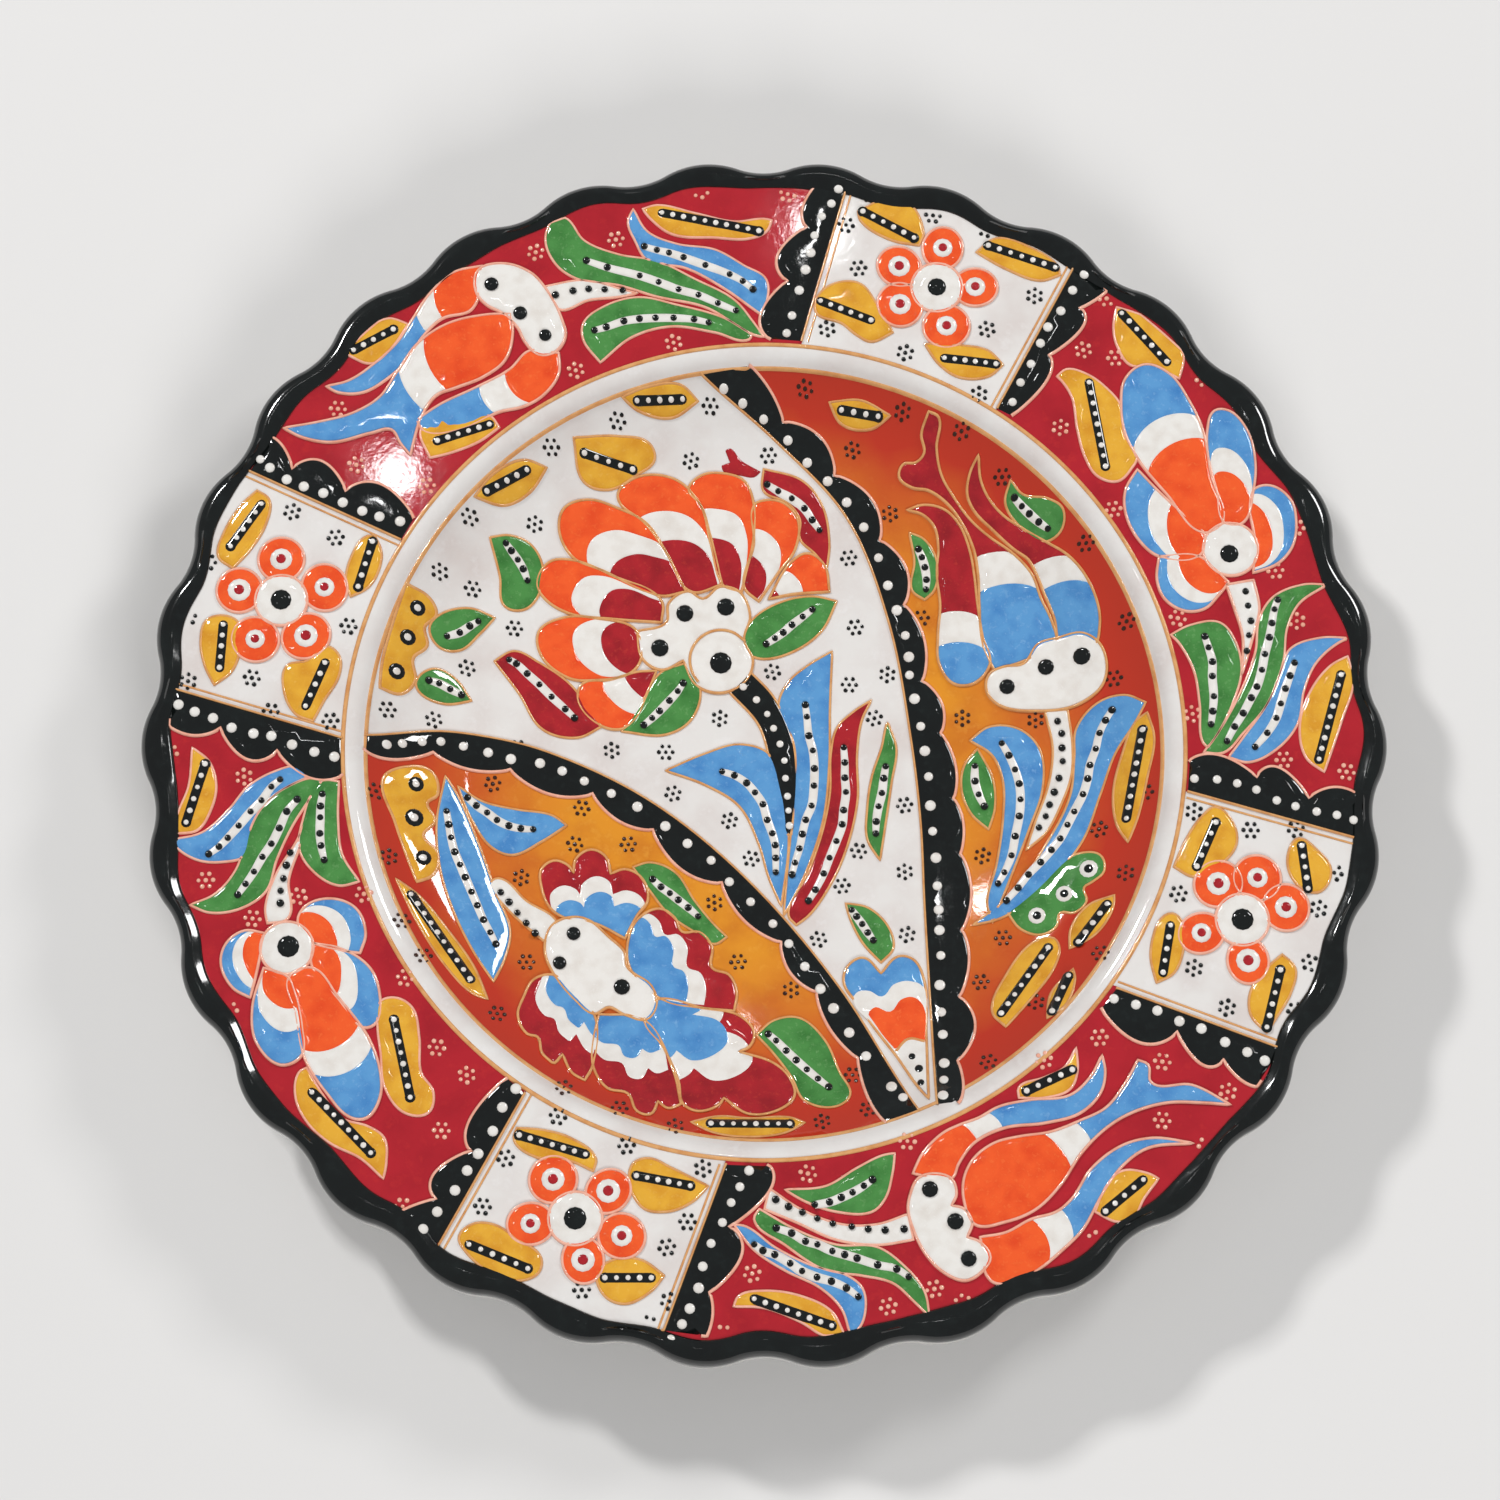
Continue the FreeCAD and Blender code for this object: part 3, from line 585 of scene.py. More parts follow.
# Each rim bar: cusps and bulges of its scalloped side from the ring outwards, then its beads.
RIM_BARS = [
    ([(1.5, 85.5), (-0.6, 91), (5, 98.2), (2.9, 103.8), (9, 110), (8.3, 115), (13, 121.5)], [(15.5, 118.3),
     (14, 115), (12, 112.2), (10.5, 108), (9.7, 104.2), (8.6, 100.5), (7.3, 96), (5.8, 90.5), (4.7, 86.7)]),
    ([(50.5, 69), (57.8, 76.5), (58.3, 82), (65.3, 88), (64.8, 92.2), (70.5, 96), (72, 99.5)], [(66, 99.5),
     (63.5, 96), (61, 91.5), (58.3, 88), (56.7, 84.5), (54.7, 80), (52.5, 76), (50.8, 71.8)]),
    ([(85, -4), (91, -2.6), (98.5, -7.2), (103, -5.2), (108.8, -11.5), (114.5, -9.2), (120, -12)],
     [(86, -7.5), (90.5, -7.7), (94.5, -8.5), (98.3, -9.8), (102.3, -12), (106, -13.2), (110.2, -14.3),
     (114.2, -15), (117.5, -16)]),
    ([(66.5, -54), (74, -61), (81.3, -58.7), (86, -65.3), (90.3, -64.3), (94.5, -69), (99, -69.5)],
     [(69, -52.3), (73.3, -53.5), (77.5, -54.7), (81.8, -56.8), (86.1, -58.3), (90.7, -61), (95, -63),
     (98.4, -64.7)]),
    ([(0.5, -85.3), (0.9, -90.5), (-7, -97.5), (-4.5, -103), (-10.8, -110.3), (-10.2, -115.5), (-12.5, -121)],
     [(-3, -86.5), (-4.8, -89.7), (-6.5, -92.8), (-8.2, -96.7), (-10.4, -100.8), (-12, -105.3),
     (-12.8, -109.5), (-14.5, -113.5), (-16, -116.5), (-18.2, -119.5)]),
    ([(-50.5, -68), (-57.8, -76.5), (-57.2, -82.5), (-64.5, -87), (-64, -92), (-71, -94.5), (-74, -97.5)],
     [(-48.8, -70.3), (-51.4, -74), (-53.2, -78.7), (-56, -83.2), (-58.1, -86.5), (-60.4, -90.4),
     (-63.8, -94.6), (-66.5, -98)]),
    ([(-84.2, -6.5), (-91, -7.2), (-97.5, -1.5), (-103.5, -3.4), (-109, 3.2), (-115, 1.6), (-121, 5)],
     [(-117.5, 7.8), (-114.2, 6.3), (-110.5, 5), (-106.7, 3), (-102.3, 1.8), (-98.7, 1.3), (-94.5, -0.5),
     (-90, -2), (-86, -3)]),
    ([(-71, 47), (-78, 54.3), (-85, 52.7), (-90, 59.2), (-96, 57.5), (-99, 63.5), (-103.5, 64.5)],
     [(-102.5, 59.5), (-100.5, 57.7), (-97, 55.2), (-93.5, 53.7), (-89.5, 52.3), (-85.5, 50.3), (-81.5, 48.5),
     (-78, 47.3), (-73.8, 46.3)]),
]


def scalloped(points):
    """Arcs from cusp to cusp: the odd points are the middles of the bulges."""
    out = []
    for start, middle, end in zip(points[:-2:2], points[1:-1:2], points[2::2]):
        a, m, b = (np.array(p, float) for p in (start, middle, end))
        lift = m - (a + b) / 2
        count = max(6, int(np.linalg.norm(b - a) / 0.7))
        for k in range(count):
            t = k / count
            out.append(a + (b - a) * t + lift * math.sin(math.pi * t) ** 0.75)
    out.append(np.array(points[-1], float))
    return np.array(out)


def straight(start, end, step=0.8):
    """Points of a straight line, about step mm apart."""
    count = max(2, int(math.hypot(end[0] - start[0], end[1] - start[1]) / step))
    a, b = np.array(start, float), np.array(end, float)
    return np.array([a + (b - a) * k / count for k in range(count + 1)])


for number, ((start, end), (side, beads)) in enumerate(zip(BARS, RIM_BARS), start=1):
    name = "rim_bar_%d" % number
    wave, edge = scalloped(side), straight(start, end)
    deposit(name, "black", np.concatenate([edge, wave[::-1]]), 0.6, 0.9)
    line(name, "pink", wave, 0.75, 0.5, closed=False)
    line(name, "tan", edge, 0.55, 0.6, closed=False)
    away = edge - wave[len(wave) // 2]
    away = away[len(away) // 2] / np.linalg.norm(away[len(away) // 2])
    line(name, "tan", edge + away * 1.3, 0.45, 0.25, closed=False)
    dots(name, "cream", beads, 1.0, 0.45, 0.55)
    lay(name, name)

# The two bars of the well follow the sweeps; their scallops face the amber grounds.
RIGHT_SCALLOPS = [(38, -73), (39.2, -69), (38.3, -63.3), (42, -56), (39, -49.5), (41.1, -42), (39.7, -35.5),
    (41.8, -27.5), (39.7, -19.5), (40.4, -13), (38.4, -7.8), (39, -1), (36, 6), (36.4, 12), (32.3, 17),
    (32.9, 25.5), (28.7, 33), (29.3, 40.5), (23.8, 46.5), (22.3, 55), (14.5, 60), (11.8, 67.5), (4, 70.5),
    (1.5, 76), (-3, 80.5)]
LOWER_SCALLOPS = [(24, -76.5), (20.5, -70.5), (18.7, -62), (13, -55.5), (10.6, -48), (5.3, -44), (3.5, -37.5),
    (-4, -33), (-8.5, -25), (-16.8, -22.3), (-22.5, -14), (-29.5, -12.3), (-34.8, -6.6), (-43.5, -7),
    (-51.5, -2), (-59.5, -2.4), (-67, 0.8), (-75, -1.8), (-80.3, -0.6)]
RIGHT_BEADS = [(-8.2, 76.4), (-4.3, 73.9), (0, 71), (5, 67), (9, 62.6), (13.2, 58.8), (17.1, 54.4),
    (20.6, 49.2), (23.6, 42.8), (25.5, 37), (27.3, 31.8), (29, 26.5), (29.7, 22), (29.8, 18.2), (30.8, 13.2),
    (32, 7.4), (32.8, 2.2), (33.5, -3.2), (33.8, -9.3), (34.2, -14.7), (34.8, -20.3), (35, -26.2),
    (35.2, -31.2), (35.3, -35.5), (35.5, -40.8), (35.2, -47), (35.4, -52.7), (35.6, -57.5), (35.7, -63.8),
    (35.5, -67.5), (35.2, -71)]
LOWER_BEADS = [(-76, 1), (-73, 1.7), (-69.2, 2.6), (-65.5, 3), (-61, 2.3), (-56, 1.2), (-51.4, 0),
    (-45.5, -0.7), (-41, -2.2), (-36.5, -4.2), (-31, -6.7), (-25.7, -9.4), (-20, -13.4), (-15.5, -17),
    (-10.7, -20.5), (-7, -25), (-2.7, -29.2), (1.8, -33.8), (5, -38), (8.2, -42.8), (11.3, -47.5),
    (13.9, -51.6), (17, -56.7), (20.3, -61.7), (25.2, -68.5), (27.4, -71)]
for name, sweep, scallops, beads in (("well_bar_right", RIGHT_SWEEP, RIGHT_SCALLOPS, RIGHT_BEADS),
                                     ("well_bar_lower", LOWER_SWEEP, LOWER_SCALLOPS, LOWER_BEADS)):
    wave = scalloped(scallops)
    deposit(name, "black", np.concatenate([sweep, wave]), 0.6, 0.9)
    line(name, "pink", wave, 0.75, 0.5, closed=False)
    line(name, "tan", sweep, 0.55, 0.5, closed=False)
    dots(name, "cream", beads, 1.05, 0.45, 0.55)
    lay(name, name)

# ---------------------------------------------------------------- edge lines of the band
# Thin tan slip lines run round both edges of the white band. They were laid on the turning wheel.
for radius, width in ((80.0, 0.8), (84.4, 0.9)):
    circle = np.array(polar_arc(radius, 0, 2 * math.pi, 1.0)[:-1])
    line("ring_lines", "tan", circle, width, 0.3)
lay("ring_lines")


# ---------------------------------------------------------------- leaves, clusters and petals
# Every motif is a pool of enamel with a slip line trailed round it. Leaves carry a white streak with
# black beads; mustard leaves a black bar with white beads; clusters are seven small beads.
def leaf(group, colour, outline, beads, rim="pink", bead="black", streak="cream"):
    """A leaf with a row of beads on a streak."""
    loop = smooth(outline)
    deposit(group, colour, loop, 0.5, 0.9)
    line(group, rim, loop, 0.6, 0.4)
    if streak and len(beads) > 1:
        line(group, streak, smooth(beads, closed=False), 2.0, 0.3, 0.42, closed=False, taper=True)
    dots(group, bead, beads, 0.72, 0.3, 0.68)


def barred_leaf(group, outline, start, end, rim="pink"):
    """A mustard leaf with a black bar from start to end and white beads on it."""
    loop = smooth(outline)
    deposit(group, "mustard", loop, 0.5, 0.9)
    line(group, rim, loop, 0.6, 0.4)
    path = straight(start, end, 0.5)
    bar = np.array(start, float), np.array(end, float)
    line(group, "black", path, 2.1, 0.35, 0.42, closed=False)
    dots(group, "black", bar, 1.05, 0.3, 0.42)
    along = bar[1] - bar[0]
    count = max(3, int(np.linalg.norm(along) / 2.1))
    dots(group, "cream", [bar[0] + along * k / count for k in range(count + 1)], 0.55, 0.25, 0.72)


def clusters(group, colour, places, radius=0.45, reach=1.45):
    """Seven small beads, one in the middle of six."""
    spots = []
    for cx, cy in places:
        turn = math.sin(cx * 3.1 + cy)
        spots.append((cx, cy))
        for k in range(6):
            angle = turn + math.pi / 3 * k
            spots.append((cx + reach * math.cos(angle), cy + reach * math.sin(angle)))
    dots(group, colour, [spot for spot in spots if math.hypot(*spot) < 118.4], radius, 0.32)


def band_shape(loop, centre, radius):
    """The part of a petal near its base. A radius under 1 draws the petal in to that share of its
    length; any other is the reach in mm of a tongue with a round end, a little wider than the petal."""
    axis = loop.mean(axis=0) - centre
    axis /= np.linalg.norm(axis)
    side = np.array([-axis[1], axis[0]])
    across = (loop - centre) @ side
    if radius < 1:
        along = (loop - centre) @ axis
        return centre + np.outer(along, axis) * radius + np.outer(across, side) * radius ** 0.4
    wide = (across.max() - across.min()) * 0.56
    middle = centre + side * (across.max() + across.min()) / 2
    cap = min(radius, wide * 0.75)
    turns = np.linspace(-math.pi / 2, math.pi / 2, 22)
    points = [middle + axis * (radius - cap + cap * math.cos(t)) + side * wide * math.sin(t) for t in turns]
    tail = straight(points[-1], points[-1] - axis * (radius + 6))
    return np.array(points + list(tail[1:]) + list(straight(tail[-1] - side * 2 * wide, points[0])[:-1]))


def petal(group, outline, bands, rim="pink", height=0.5):
    """A petal painted in bands: bands holds (colour, base, reach) from the base out, then a last colour."""
    loop = kept(smooth(outline))
    tongues = [band_shape(loop, np.array(base, float), reach) for _, base, reach in bands[:-1]]
    points, faces = fill(loop, 1.8, tongues, (0.1, 0.3, 0.65))
    rimward = distance(points, [(loop, True)])
    seam = distance(points, [(t, True) for t in tongues]) if tongues else np.full(len(points), 9.0)
    z = face_height(np.hypot(points[:, 0], points[:, 1])) - SINK
    z += (height + SINK) * dome(rimward, 1.0) * (0.82 + 0.18 * dome(seam, 0.6))
    verts = np.column_stack([points, z])
    middle = points[faces].mean(axis=1)
    left = np.ones(len(faces), bool)
    for band, shape in zip(bands[:-1], tongues):
        mine = left & inside(middle, shape)
        put(group, band[0], verts, faces[mine])
        left &= ~mine
    put(group, bands[-1][0], verts, faces[left])
    line(group, rim, loop, 0.65, height + 0.04)


def disc(group, centre, radius, dot, dot_radius):
    """A round white flower centre with a black eye."""
    ring = np.array([(centre[0] + radius * math.cos(a), centre[1] + radius * math.sin(a))
                     for a in np.linspace(0, 2 * math.pi, 48, endpoint=False)])
    deposit(group, "cream", ring, 0.65, 1.0, spacing=1.4)
    line(group, "pink", ring, 0.65, 0.5, 0.1)
    dots(group, "black", [dot], dot_radius, 0.4, 0.72)


# ---------------------------------------------------------------- white panels
# Four white panels on the rim, each with one orange five-petalled flower, four mustard leaves and
# black clusters in the gaps.
PANEL_FLOWERS = [
    ("panel_flower_top_right", (35.6, 96.7), [(36.9, 105.3), (27.9, 101.3), (28, 93), (37.5, 88.3),
     (43.5, 96.8)]),
    ("panel_flower_right", (94.8, -36.3), [(90.2, -29), (98, -27.8), (103.5, -33.8), (95.7, -44.6),
     (86.6, -39)]),
    ("panel_flower_bottom_left", (-36.9, -95.9), [(-41.3, -88.2), (-30.5, -90.5), (-27.8, -99.3),
     (-35.3, -104), (-45.6, -96.9)]),
    ("panel_flower_left", (-97.5, 29.7), [(-97.7, 38.3), (-88.8, 32.4), (-92.3, 22.2), (-102.5, 21.5),
     (-106, 31.8)]),
]
for name, centre, petals in PANEL_FLOWERS:
    for number, (x, y) in enumerate(petals):
        away = math.atan2(y - centre[1], x - centre[0])
        long, wide = 4.6, 4.5 + 0.5 * math.sin(3.0 * number + x)
        shape = [(x + long * math.cos(t) * math.cos(away) - wide * math.sin(t) * math.sin(away),
                  y + long * math.cos(t) * math.sin(away) + wide * math.sin(t) * math.cos(away))
                 for t in np.linspace(0, 2 * math.pi, 14, endpoint=False)]
        petal(name, shape, [("orange",)])
        dots(name, "cream", [(x, y)], 2.2, 0.3, 0.55)
        dots(name, "darkred", [(x, y)], 1.0, 0.25, 0.8)
    disc(name, centre, 5.3, centre, 2.1)
    lay(name, name)

BARRED = {
    "leaves_top_right": [
        ([(19.5, 113.5), (28, 116.7), (33, 109), (32, 106), (26, 107.3), (20, 111.5)], (20.5, 113.3),
         (31, 107.5)),
        ([(43.8, 104.5), (48, 107.5), (55, 105.5), (60.5, 101.5), (61, 99.5), (57, 98.3), (50, 100.8)],
         (46.3, 105.8), (60, 101)),
        ([(10.5, 92.5), (12, 96), (16, 98), (20, 97.5), (23, 93.5), (26.5, 87), (22, 85), (19, 86.5),
         (16, 89), (11, 91)], (11.7, 93.7), (22, 89.5)),
        ([(33, 84.5), (36, 80), (40, 77.3), (46, 77.5), (49, 80), (46, 83), (40, 84.2)], (37, 81.3),
         (47.5, 80))],
    "leaves_right": [
        ([(90, -13.3), (93.5, -16.5), (94, -21), (90, -25.5), (85.5, -27.5), (81.5, -25.5), (84, -20),
         (88, -14.5)], (90, -16.5), (86, -25.5)),
        ([(106.5, -19.7), (110, -22), (112.7, -26), (110.5, -30.5), (107, -30), (104.3, -26), (105, -21)],
         (107, -21.3), (108, -30)),
        ([(81, -35), (83, -37), (83, -42), (81, -47), (77.5, -49), (76.5, -44), (77, -40), (78.8, -36)],
         (80.5, -37.5), (78.8, -47)),
        ([(102.5, -43.3), (105, -46), (104, -51), (101, -56), (99, -59), (96, -55.5), (96, -51), (99, -46.5)],
         (102, -46.5), (99, -58))],
    "leaves_bottom_left": [
        ([(-48.5, -78), (-43, -78.5), (-38, -80), (-33, -84), (-33.5, -86.5), (-38, -84.5), (-44, -84),
         (-49, -80.5)], (-48, -79.5), (-35, -83.3)),
        ([(-26, -85.5), (-23, -84), (-18, -86), (-14, -88), (-11, -89.5), (-14, -92.5), (-19, -94.5),
         (-24, -93.5)], (-25, -87.5), (-14.5, -89.5)),
        ([(-59.5, -99.5), (-57, -97), (-53, -97), (-48, -100), (-43.5, -103.5), (-44, -106.5), (-48, -108),
         (-53, -106.5), (-58, -102.5)], (-57.5, -101), (-46, -105.7)),
        ([(-32.5, -106.5), (-29.5, -104), (-24, -104), (-19.5, -107), (-22, -110), (-27, -112.5),
         (-31, -111)], (-31, -107.5), (-22, -107.5))],
    "leaves_left": [
        ([(-103, 53), (-100.5, 51), (-101, 46), (-104, 40.5), (-107.5, 36.5), (-110.5, 39), (-109.5, 44),
         (-106, 50)], (-102, 50), (-108, 41)),
        ([(-79, 43.5), (-77.5, 40), (-78, 36), (-80, 32.5), (-83.5, 30.5), (-84.5, 34), (-83.5, 39),
         (-81, 43)], (-79.3, 42), (-82, 32.5)),
        ([(-109, 26.5), (-106, 25), (-105.5, 20), (-107, 15), (-110.5, 12), (-112.5, 16), (-113.5, 21),
         (-112.5, 25.5)], (-109, 24.5), (-109.5, 15.5)),
        ([(-88, 20), (-85.5, 18), (-85.5, 14), (-88.5, 8.5), (-90.5, 4.5), (-94, 6), (-96.5, 11), (-96, 16),
         (-92, 17)], (-88.3, 16.5), (-92, 7.5))],
}
for name, rows in BARRED.items():
    for outline, start, end in rows:
        barred_leaf(name, outline, start, end, "tan")
clusters("leaves_top_right", "black", [(17, 110.5), (22, 117.2), (35, 112.6), (46, 109.5), (19.5, 101),
    (55.7, 95), (13, 87.8), (45.8, 87.7), (29, 82.6), (44, 73.6)])
clusters("leaves_right", "black", [(85.8, -14.2), (97, -18), (106, -17.8), (114.8, -27), (82.3, -31),
    (110, -34), (85, -46), (108, -45), (91.3, -54), (104.8, -54.6)])
clusters("leaves_bottom_left", "black", [(-40.5, -75.7), (-50.6, -84), (-27, -81.5), (-12, -86), (-55, -93.5),
    (-15, -96.5), (-19, -101.5), (-35.5, -109.8), (-18.5, -112), (-48.5, -111), (-22.5, -116.5)])
clusters("leaves_left", "black", [(-108.5, 51), (-95.8, 48.5), (-86.8, 43), (-112.5, 37.8), (-116.2, 26.2),
    (-83.8, 24.3), (-115.8, 12.8), (-103, 13.5), (-99, 6.5), (-87, 4.5)])
for name in BARRED:
    lay(name)

# ---------------------------------------------------------------- red field, top left
# A large tulip in orange, white and blue lies along the field with its stem to the right; two green
# leaves and a blue one spring from the bar, and mustard leaves fill the corners.
name = "tulip_top_left"
leaf(name, "green", [(-43, 112), (-41, 112), (-37, 107), (-30, 104), (-22, 102.5), (-14, 98.5), (-6, 94),
    (-2, 89), (0, 86), (-2, 86.5), (-12, 92.5), (-22, 94.8), (-30, 97.3), (-38, 98.5), (-42.5, 101.5),
    (-45, 107), (-44, 111)],
    [(-36.5, 102.5), (-32.2, 101), (-25.5, 99.2), (-21.6, 97.8), (-17.5, 96.2), (-13.4, 95), (-9.4, 93.2),
     (-5.7, 91.6)])
leaf(name, "green", [(-33.5, 80.5), (-37, 85.5), (-37, 89), (-33, 92.5), (-26, 94.6), (-18, 93), (-8, 90),
    (-2.5, 86.5), (-3, 85.5), (-10, 87), (-19, 88.3), (-27, 86)],
    [(-34.7, 87.3), (-32.3, 88), (-28.7, 89.3), (-25.5, 89.8), (-22.2, 90), (-18.5, 90), (-14.3, 89.7),
     (-11.3, 89)])
leaf(name, "blue", [(-27, 114), (-24, 109), (-18, 106.3), (-10, 105), (-4, 101.5), (0.5, 98.5), (0, 90.5),
    (-2, 92), (-8, 96.5), (-16, 101), (-24, 102.8), (-26.5, 107), (-28, 111)],
    [(-24.6, 105.6), (-22, 104.8), (-19.5, 104.2), (-16.5, 103.2), (-12, 101.5), (-7, 99.5), (-4.3, 98),
     (-2.2, 96.2)])
leaf(name, "cream", [(-45, 97), (-37, 98.3), (-28, 96), (-26, 95.5), (-30, 94.7), (-36, 94), (-42, 92)],
    [(-42.8, 95), (-39.2, 95.9), (-36, 96.3), (-32.7, 96.2), (-29, 96)], streak=None)
petal(name, [(-58, 101.5), (-64, 100), (-69, 95), (-72, 90), (-75, 85), (-80, 80), (-85, 76.5), (-89.5, 75.3),
    (-87, 74), (-82, 74), (-77, 77), (-73, 81), (-70, 86), (-66, 90), (-60, 92)],
    [("orange", (-55, 97), 13), ("cream", (-55, 97), 17.5), ("blue",)])
petal(name, [(-48, 83), (-42, 82.5), (-42, 78), (-45, 73.5), (-49, 71), (-54, 69.8), (-62, 66), (-69, 65.5),
    (-71, 68), (-66, 71.5), (-59, 75), (-52, 79)],
    [("orange", (-44, 80), 9.5), ("cream", (-44, 80), 15.5), ("blue",)])
petal(name, [(-52, 91), (-51.5, 87), (-53, 81), (-57.5, 77.3), (-63, 75), (-67, 73.3), (-70, 68.5),
    (-71.5, 63), (-72, 60.5), (-74, 63), (-76, 66), (-80, 65.3), (-88, 63.3), (-94, 64.3), (-98, 66.3),
    (-90, 67.8), (-84, 69.5), (-78.5, 73), (-75, 78.5), (-71, 84.5), (-65, 88.8), (-57, 90.8)],
    [("orange", (-57, 86), 13.5), ("cream", (-57, 86), 20), ("blue",)], height=0.62)
petal(name, [(-58.8, 100.5), (-54, 102), (-48, 100), (-44.5, 96), (-41.5, 90), (-40.7, 86), (-43, 82.5),
    (-46, 82), (-49, 85), (-50.5, 88), (-53.5, 91), (-57, 93), (-59.3, 96)], [("cream",)], height=0.62)
dots(name, "black", [(-56, 97.3), (-50, 91), (-44.8, 86.2)], 1.4, 0.35, 0.82)
barred_leaf(name, [(-25, 114), (-22, 114.8), (-14, 113), (-6, 111.2), (0, 111.8), (1.7, 111.5), (0.5, 109),
    (-3, 107.5), (-10, 107.7), (-19, 108.5), (-23.5, 112)], (-21, 113), (-1, 109))
barred_leaf(name, [(-86, 82.5), (-84, 84.5), (-81, 88), (-77, 90), (-73, 88.8), (-76, 84), (-80, 80.3)],
    (-84, 83), (-76, 87.5))
barred_leaf(name, [(-70, 66), (-67, 69), (-62, 68.6), (-56, 69), (-54, 66.5), (-58, 63.5), (-64, 61),
    (-68, 60)], (-66.5, 63.5), (-56, 67))
clusters(name, "pink", [(-13, 118), (-30.5, 107.3), (-55.5, 106.5), (-47, 104.5), (-18.5, 84.8),
    (-38.5, 78.8), (5, 117.3), (-75.5, 94), (-88.5, 80), (-87, 70.5), (-68.5, 54), (-83, 58.5)])
lay(name, name)

# ---------------------------------------------------------------- red field, right
# A five-petalled blossom on a white stem, each petal orange at its base, then white, then blue, with
# two green leaves, a blue one and three mustard ones.
name = "blossom_right"
EYE = (94.5, 40.5)
leaf(name, "blue", [(118, 21.8), (112, 21.8), (106, 19.5), (104, 15), (101, 8), (96, 1), (93, -3), (97, -4),
    (103, -1), (107, 4), (108.5, 11), (111, 16.5), (116, 21)],
    [(106.7, 16.5), (105.7, 13.8), (104.7, 11.1), (103.7, 8), (102.7, 5), (100.8, 1.9), (98.3, -1)])
leaf(name, "green", [(114, 33), (109, 33), (103, 30.5), (100, 26), (99, 19), (96, 11), (91, 2), (88, -2),
    (92, -2), (96, 2), (101, 8), (104.5, 17), (105.5, 24), (108, 29), (113, 32.5)],
    [(103.7, 29.7), (103, 27.7), (102.4, 24.8), (101.8, 21.8), (100.8, 18.3), (100.1, 15), (99, 11.5),
     (97.8, 9.2), (96.1, 6), (94.3, 3.2), (92.7, 0.2)])
leaf(name, "green", [(82, 22.5), (86, 24.5), (92, 25), (95, 21), (96, 15), (94, 8), (91, 2), (89, -1),
    (88, 0), (87.5, 8), (86.5, 15), (83.5, 21)],
    [(88.8, 22), (89.5, 19.7), (90.2, 16.7), (90.1, 13.7), (90.3, 9.5), (90, 6.4), (89.6, 3.7)])
petal(name, [(93.5, 33), (95, 28), (96.5, 22), (96, 14), (97, 17), (98.5, 22), (100, 28), (99, 34)],
    [("cream",)])
dots(name, "black", [(97.3, 31.5), (97.7, 28.5), (98.2, 25.3), (97.7, 22.3), (97.2, 19)], 0.7, 0.3, 0.55)
petal(name, [(99.5, 53), (103, 54), (107, 51), (108, 46), (107, 41), (104, 37.5), (99, 35.5), (99.5, 42)],
    [("orange", EYE, 0.62), ("cream", EYE, 0.8), ("blue",)])
petal(name, [(89.5, 43), (85, 48), (80, 53), (76, 57.5), (73.5, 53), (73.5, 48), (76, 42.5), (80, 39),
    (88, 39)],
    [("orange", EYE, 0.6), ("cream", EYE, 0.78), ("blue",)])
petal(name, [(88, 39), (80, 39), (79.5, 34), (81, 30), (85, 27.5), (89, 28), (92, 31), (94, 33.5)],
    [("orange", EYE, 0.66), ("cream", EYE, 0.84), ("blue",)])
petal(name, [(93.5, 46), (92, 53), (90.5, 60), (90.5, 66), (92, 70), (95, 70), (98.5, 66), (100, 60),
    (99.5, 53), (97, 46)],
    [("orange", EYE, 0.55), ("cream", EYE, 0.72), ("blue",)], height=0.62)
petal(name, [(93, 46), (91, 56), (89.5, 66), (87, 72), (83, 78), (78, 80), (74, 77), (73, 71), (73.5, 66),
    (76, 60), (82, 52), (89, 44)],
    [("orange", (94, 42), 23.5), ("cream", (94, 42), 29.5), ("blue",)], height=0.6)
disc(name, EYE, 5.6, (94.2, 39.4), 1.9)
barred_leaf(name, [(117.5, 18), (118.5, 13), (116, 5), (113.5, -2), (112, -6), (108.5, -3), (107.5, 4),
    (110, 11), (114, 16)], (116, 14), (111, -3.5))
barred_leaf(name, [(60, 77.5), (62, 79), (66, 78), (70, 75), (73, 71), (73.5, 65), (76, 60), (75, 58),
    (72, 55), (68, 56), (65.5, 60), (64, 66), (63, 73), (61, 76.5)], (66.5, 76), (69.5, 58))
barred_leaf(name, [(72.5, 92.5), (78, 90.5), (84, 86.5), (86, 82), (85, 77), (80, 79.5), (75, 80), (72.5, 84),
    (71.8, 88)], (73.5, 91), (82.5, 80.5))
clusters(name, "pink", [(70.5, 94.4), (65.5, 83.2), (72, 81.5), (90, 77), (101, 65), (71, 49), (109.5, 45),
    (103.5, 36), (83.5, 26), (107.5, 25.4), (86, 6), (104, -3.5), (116.5, -6), (60.5, 66.5)])
lay(name, name)

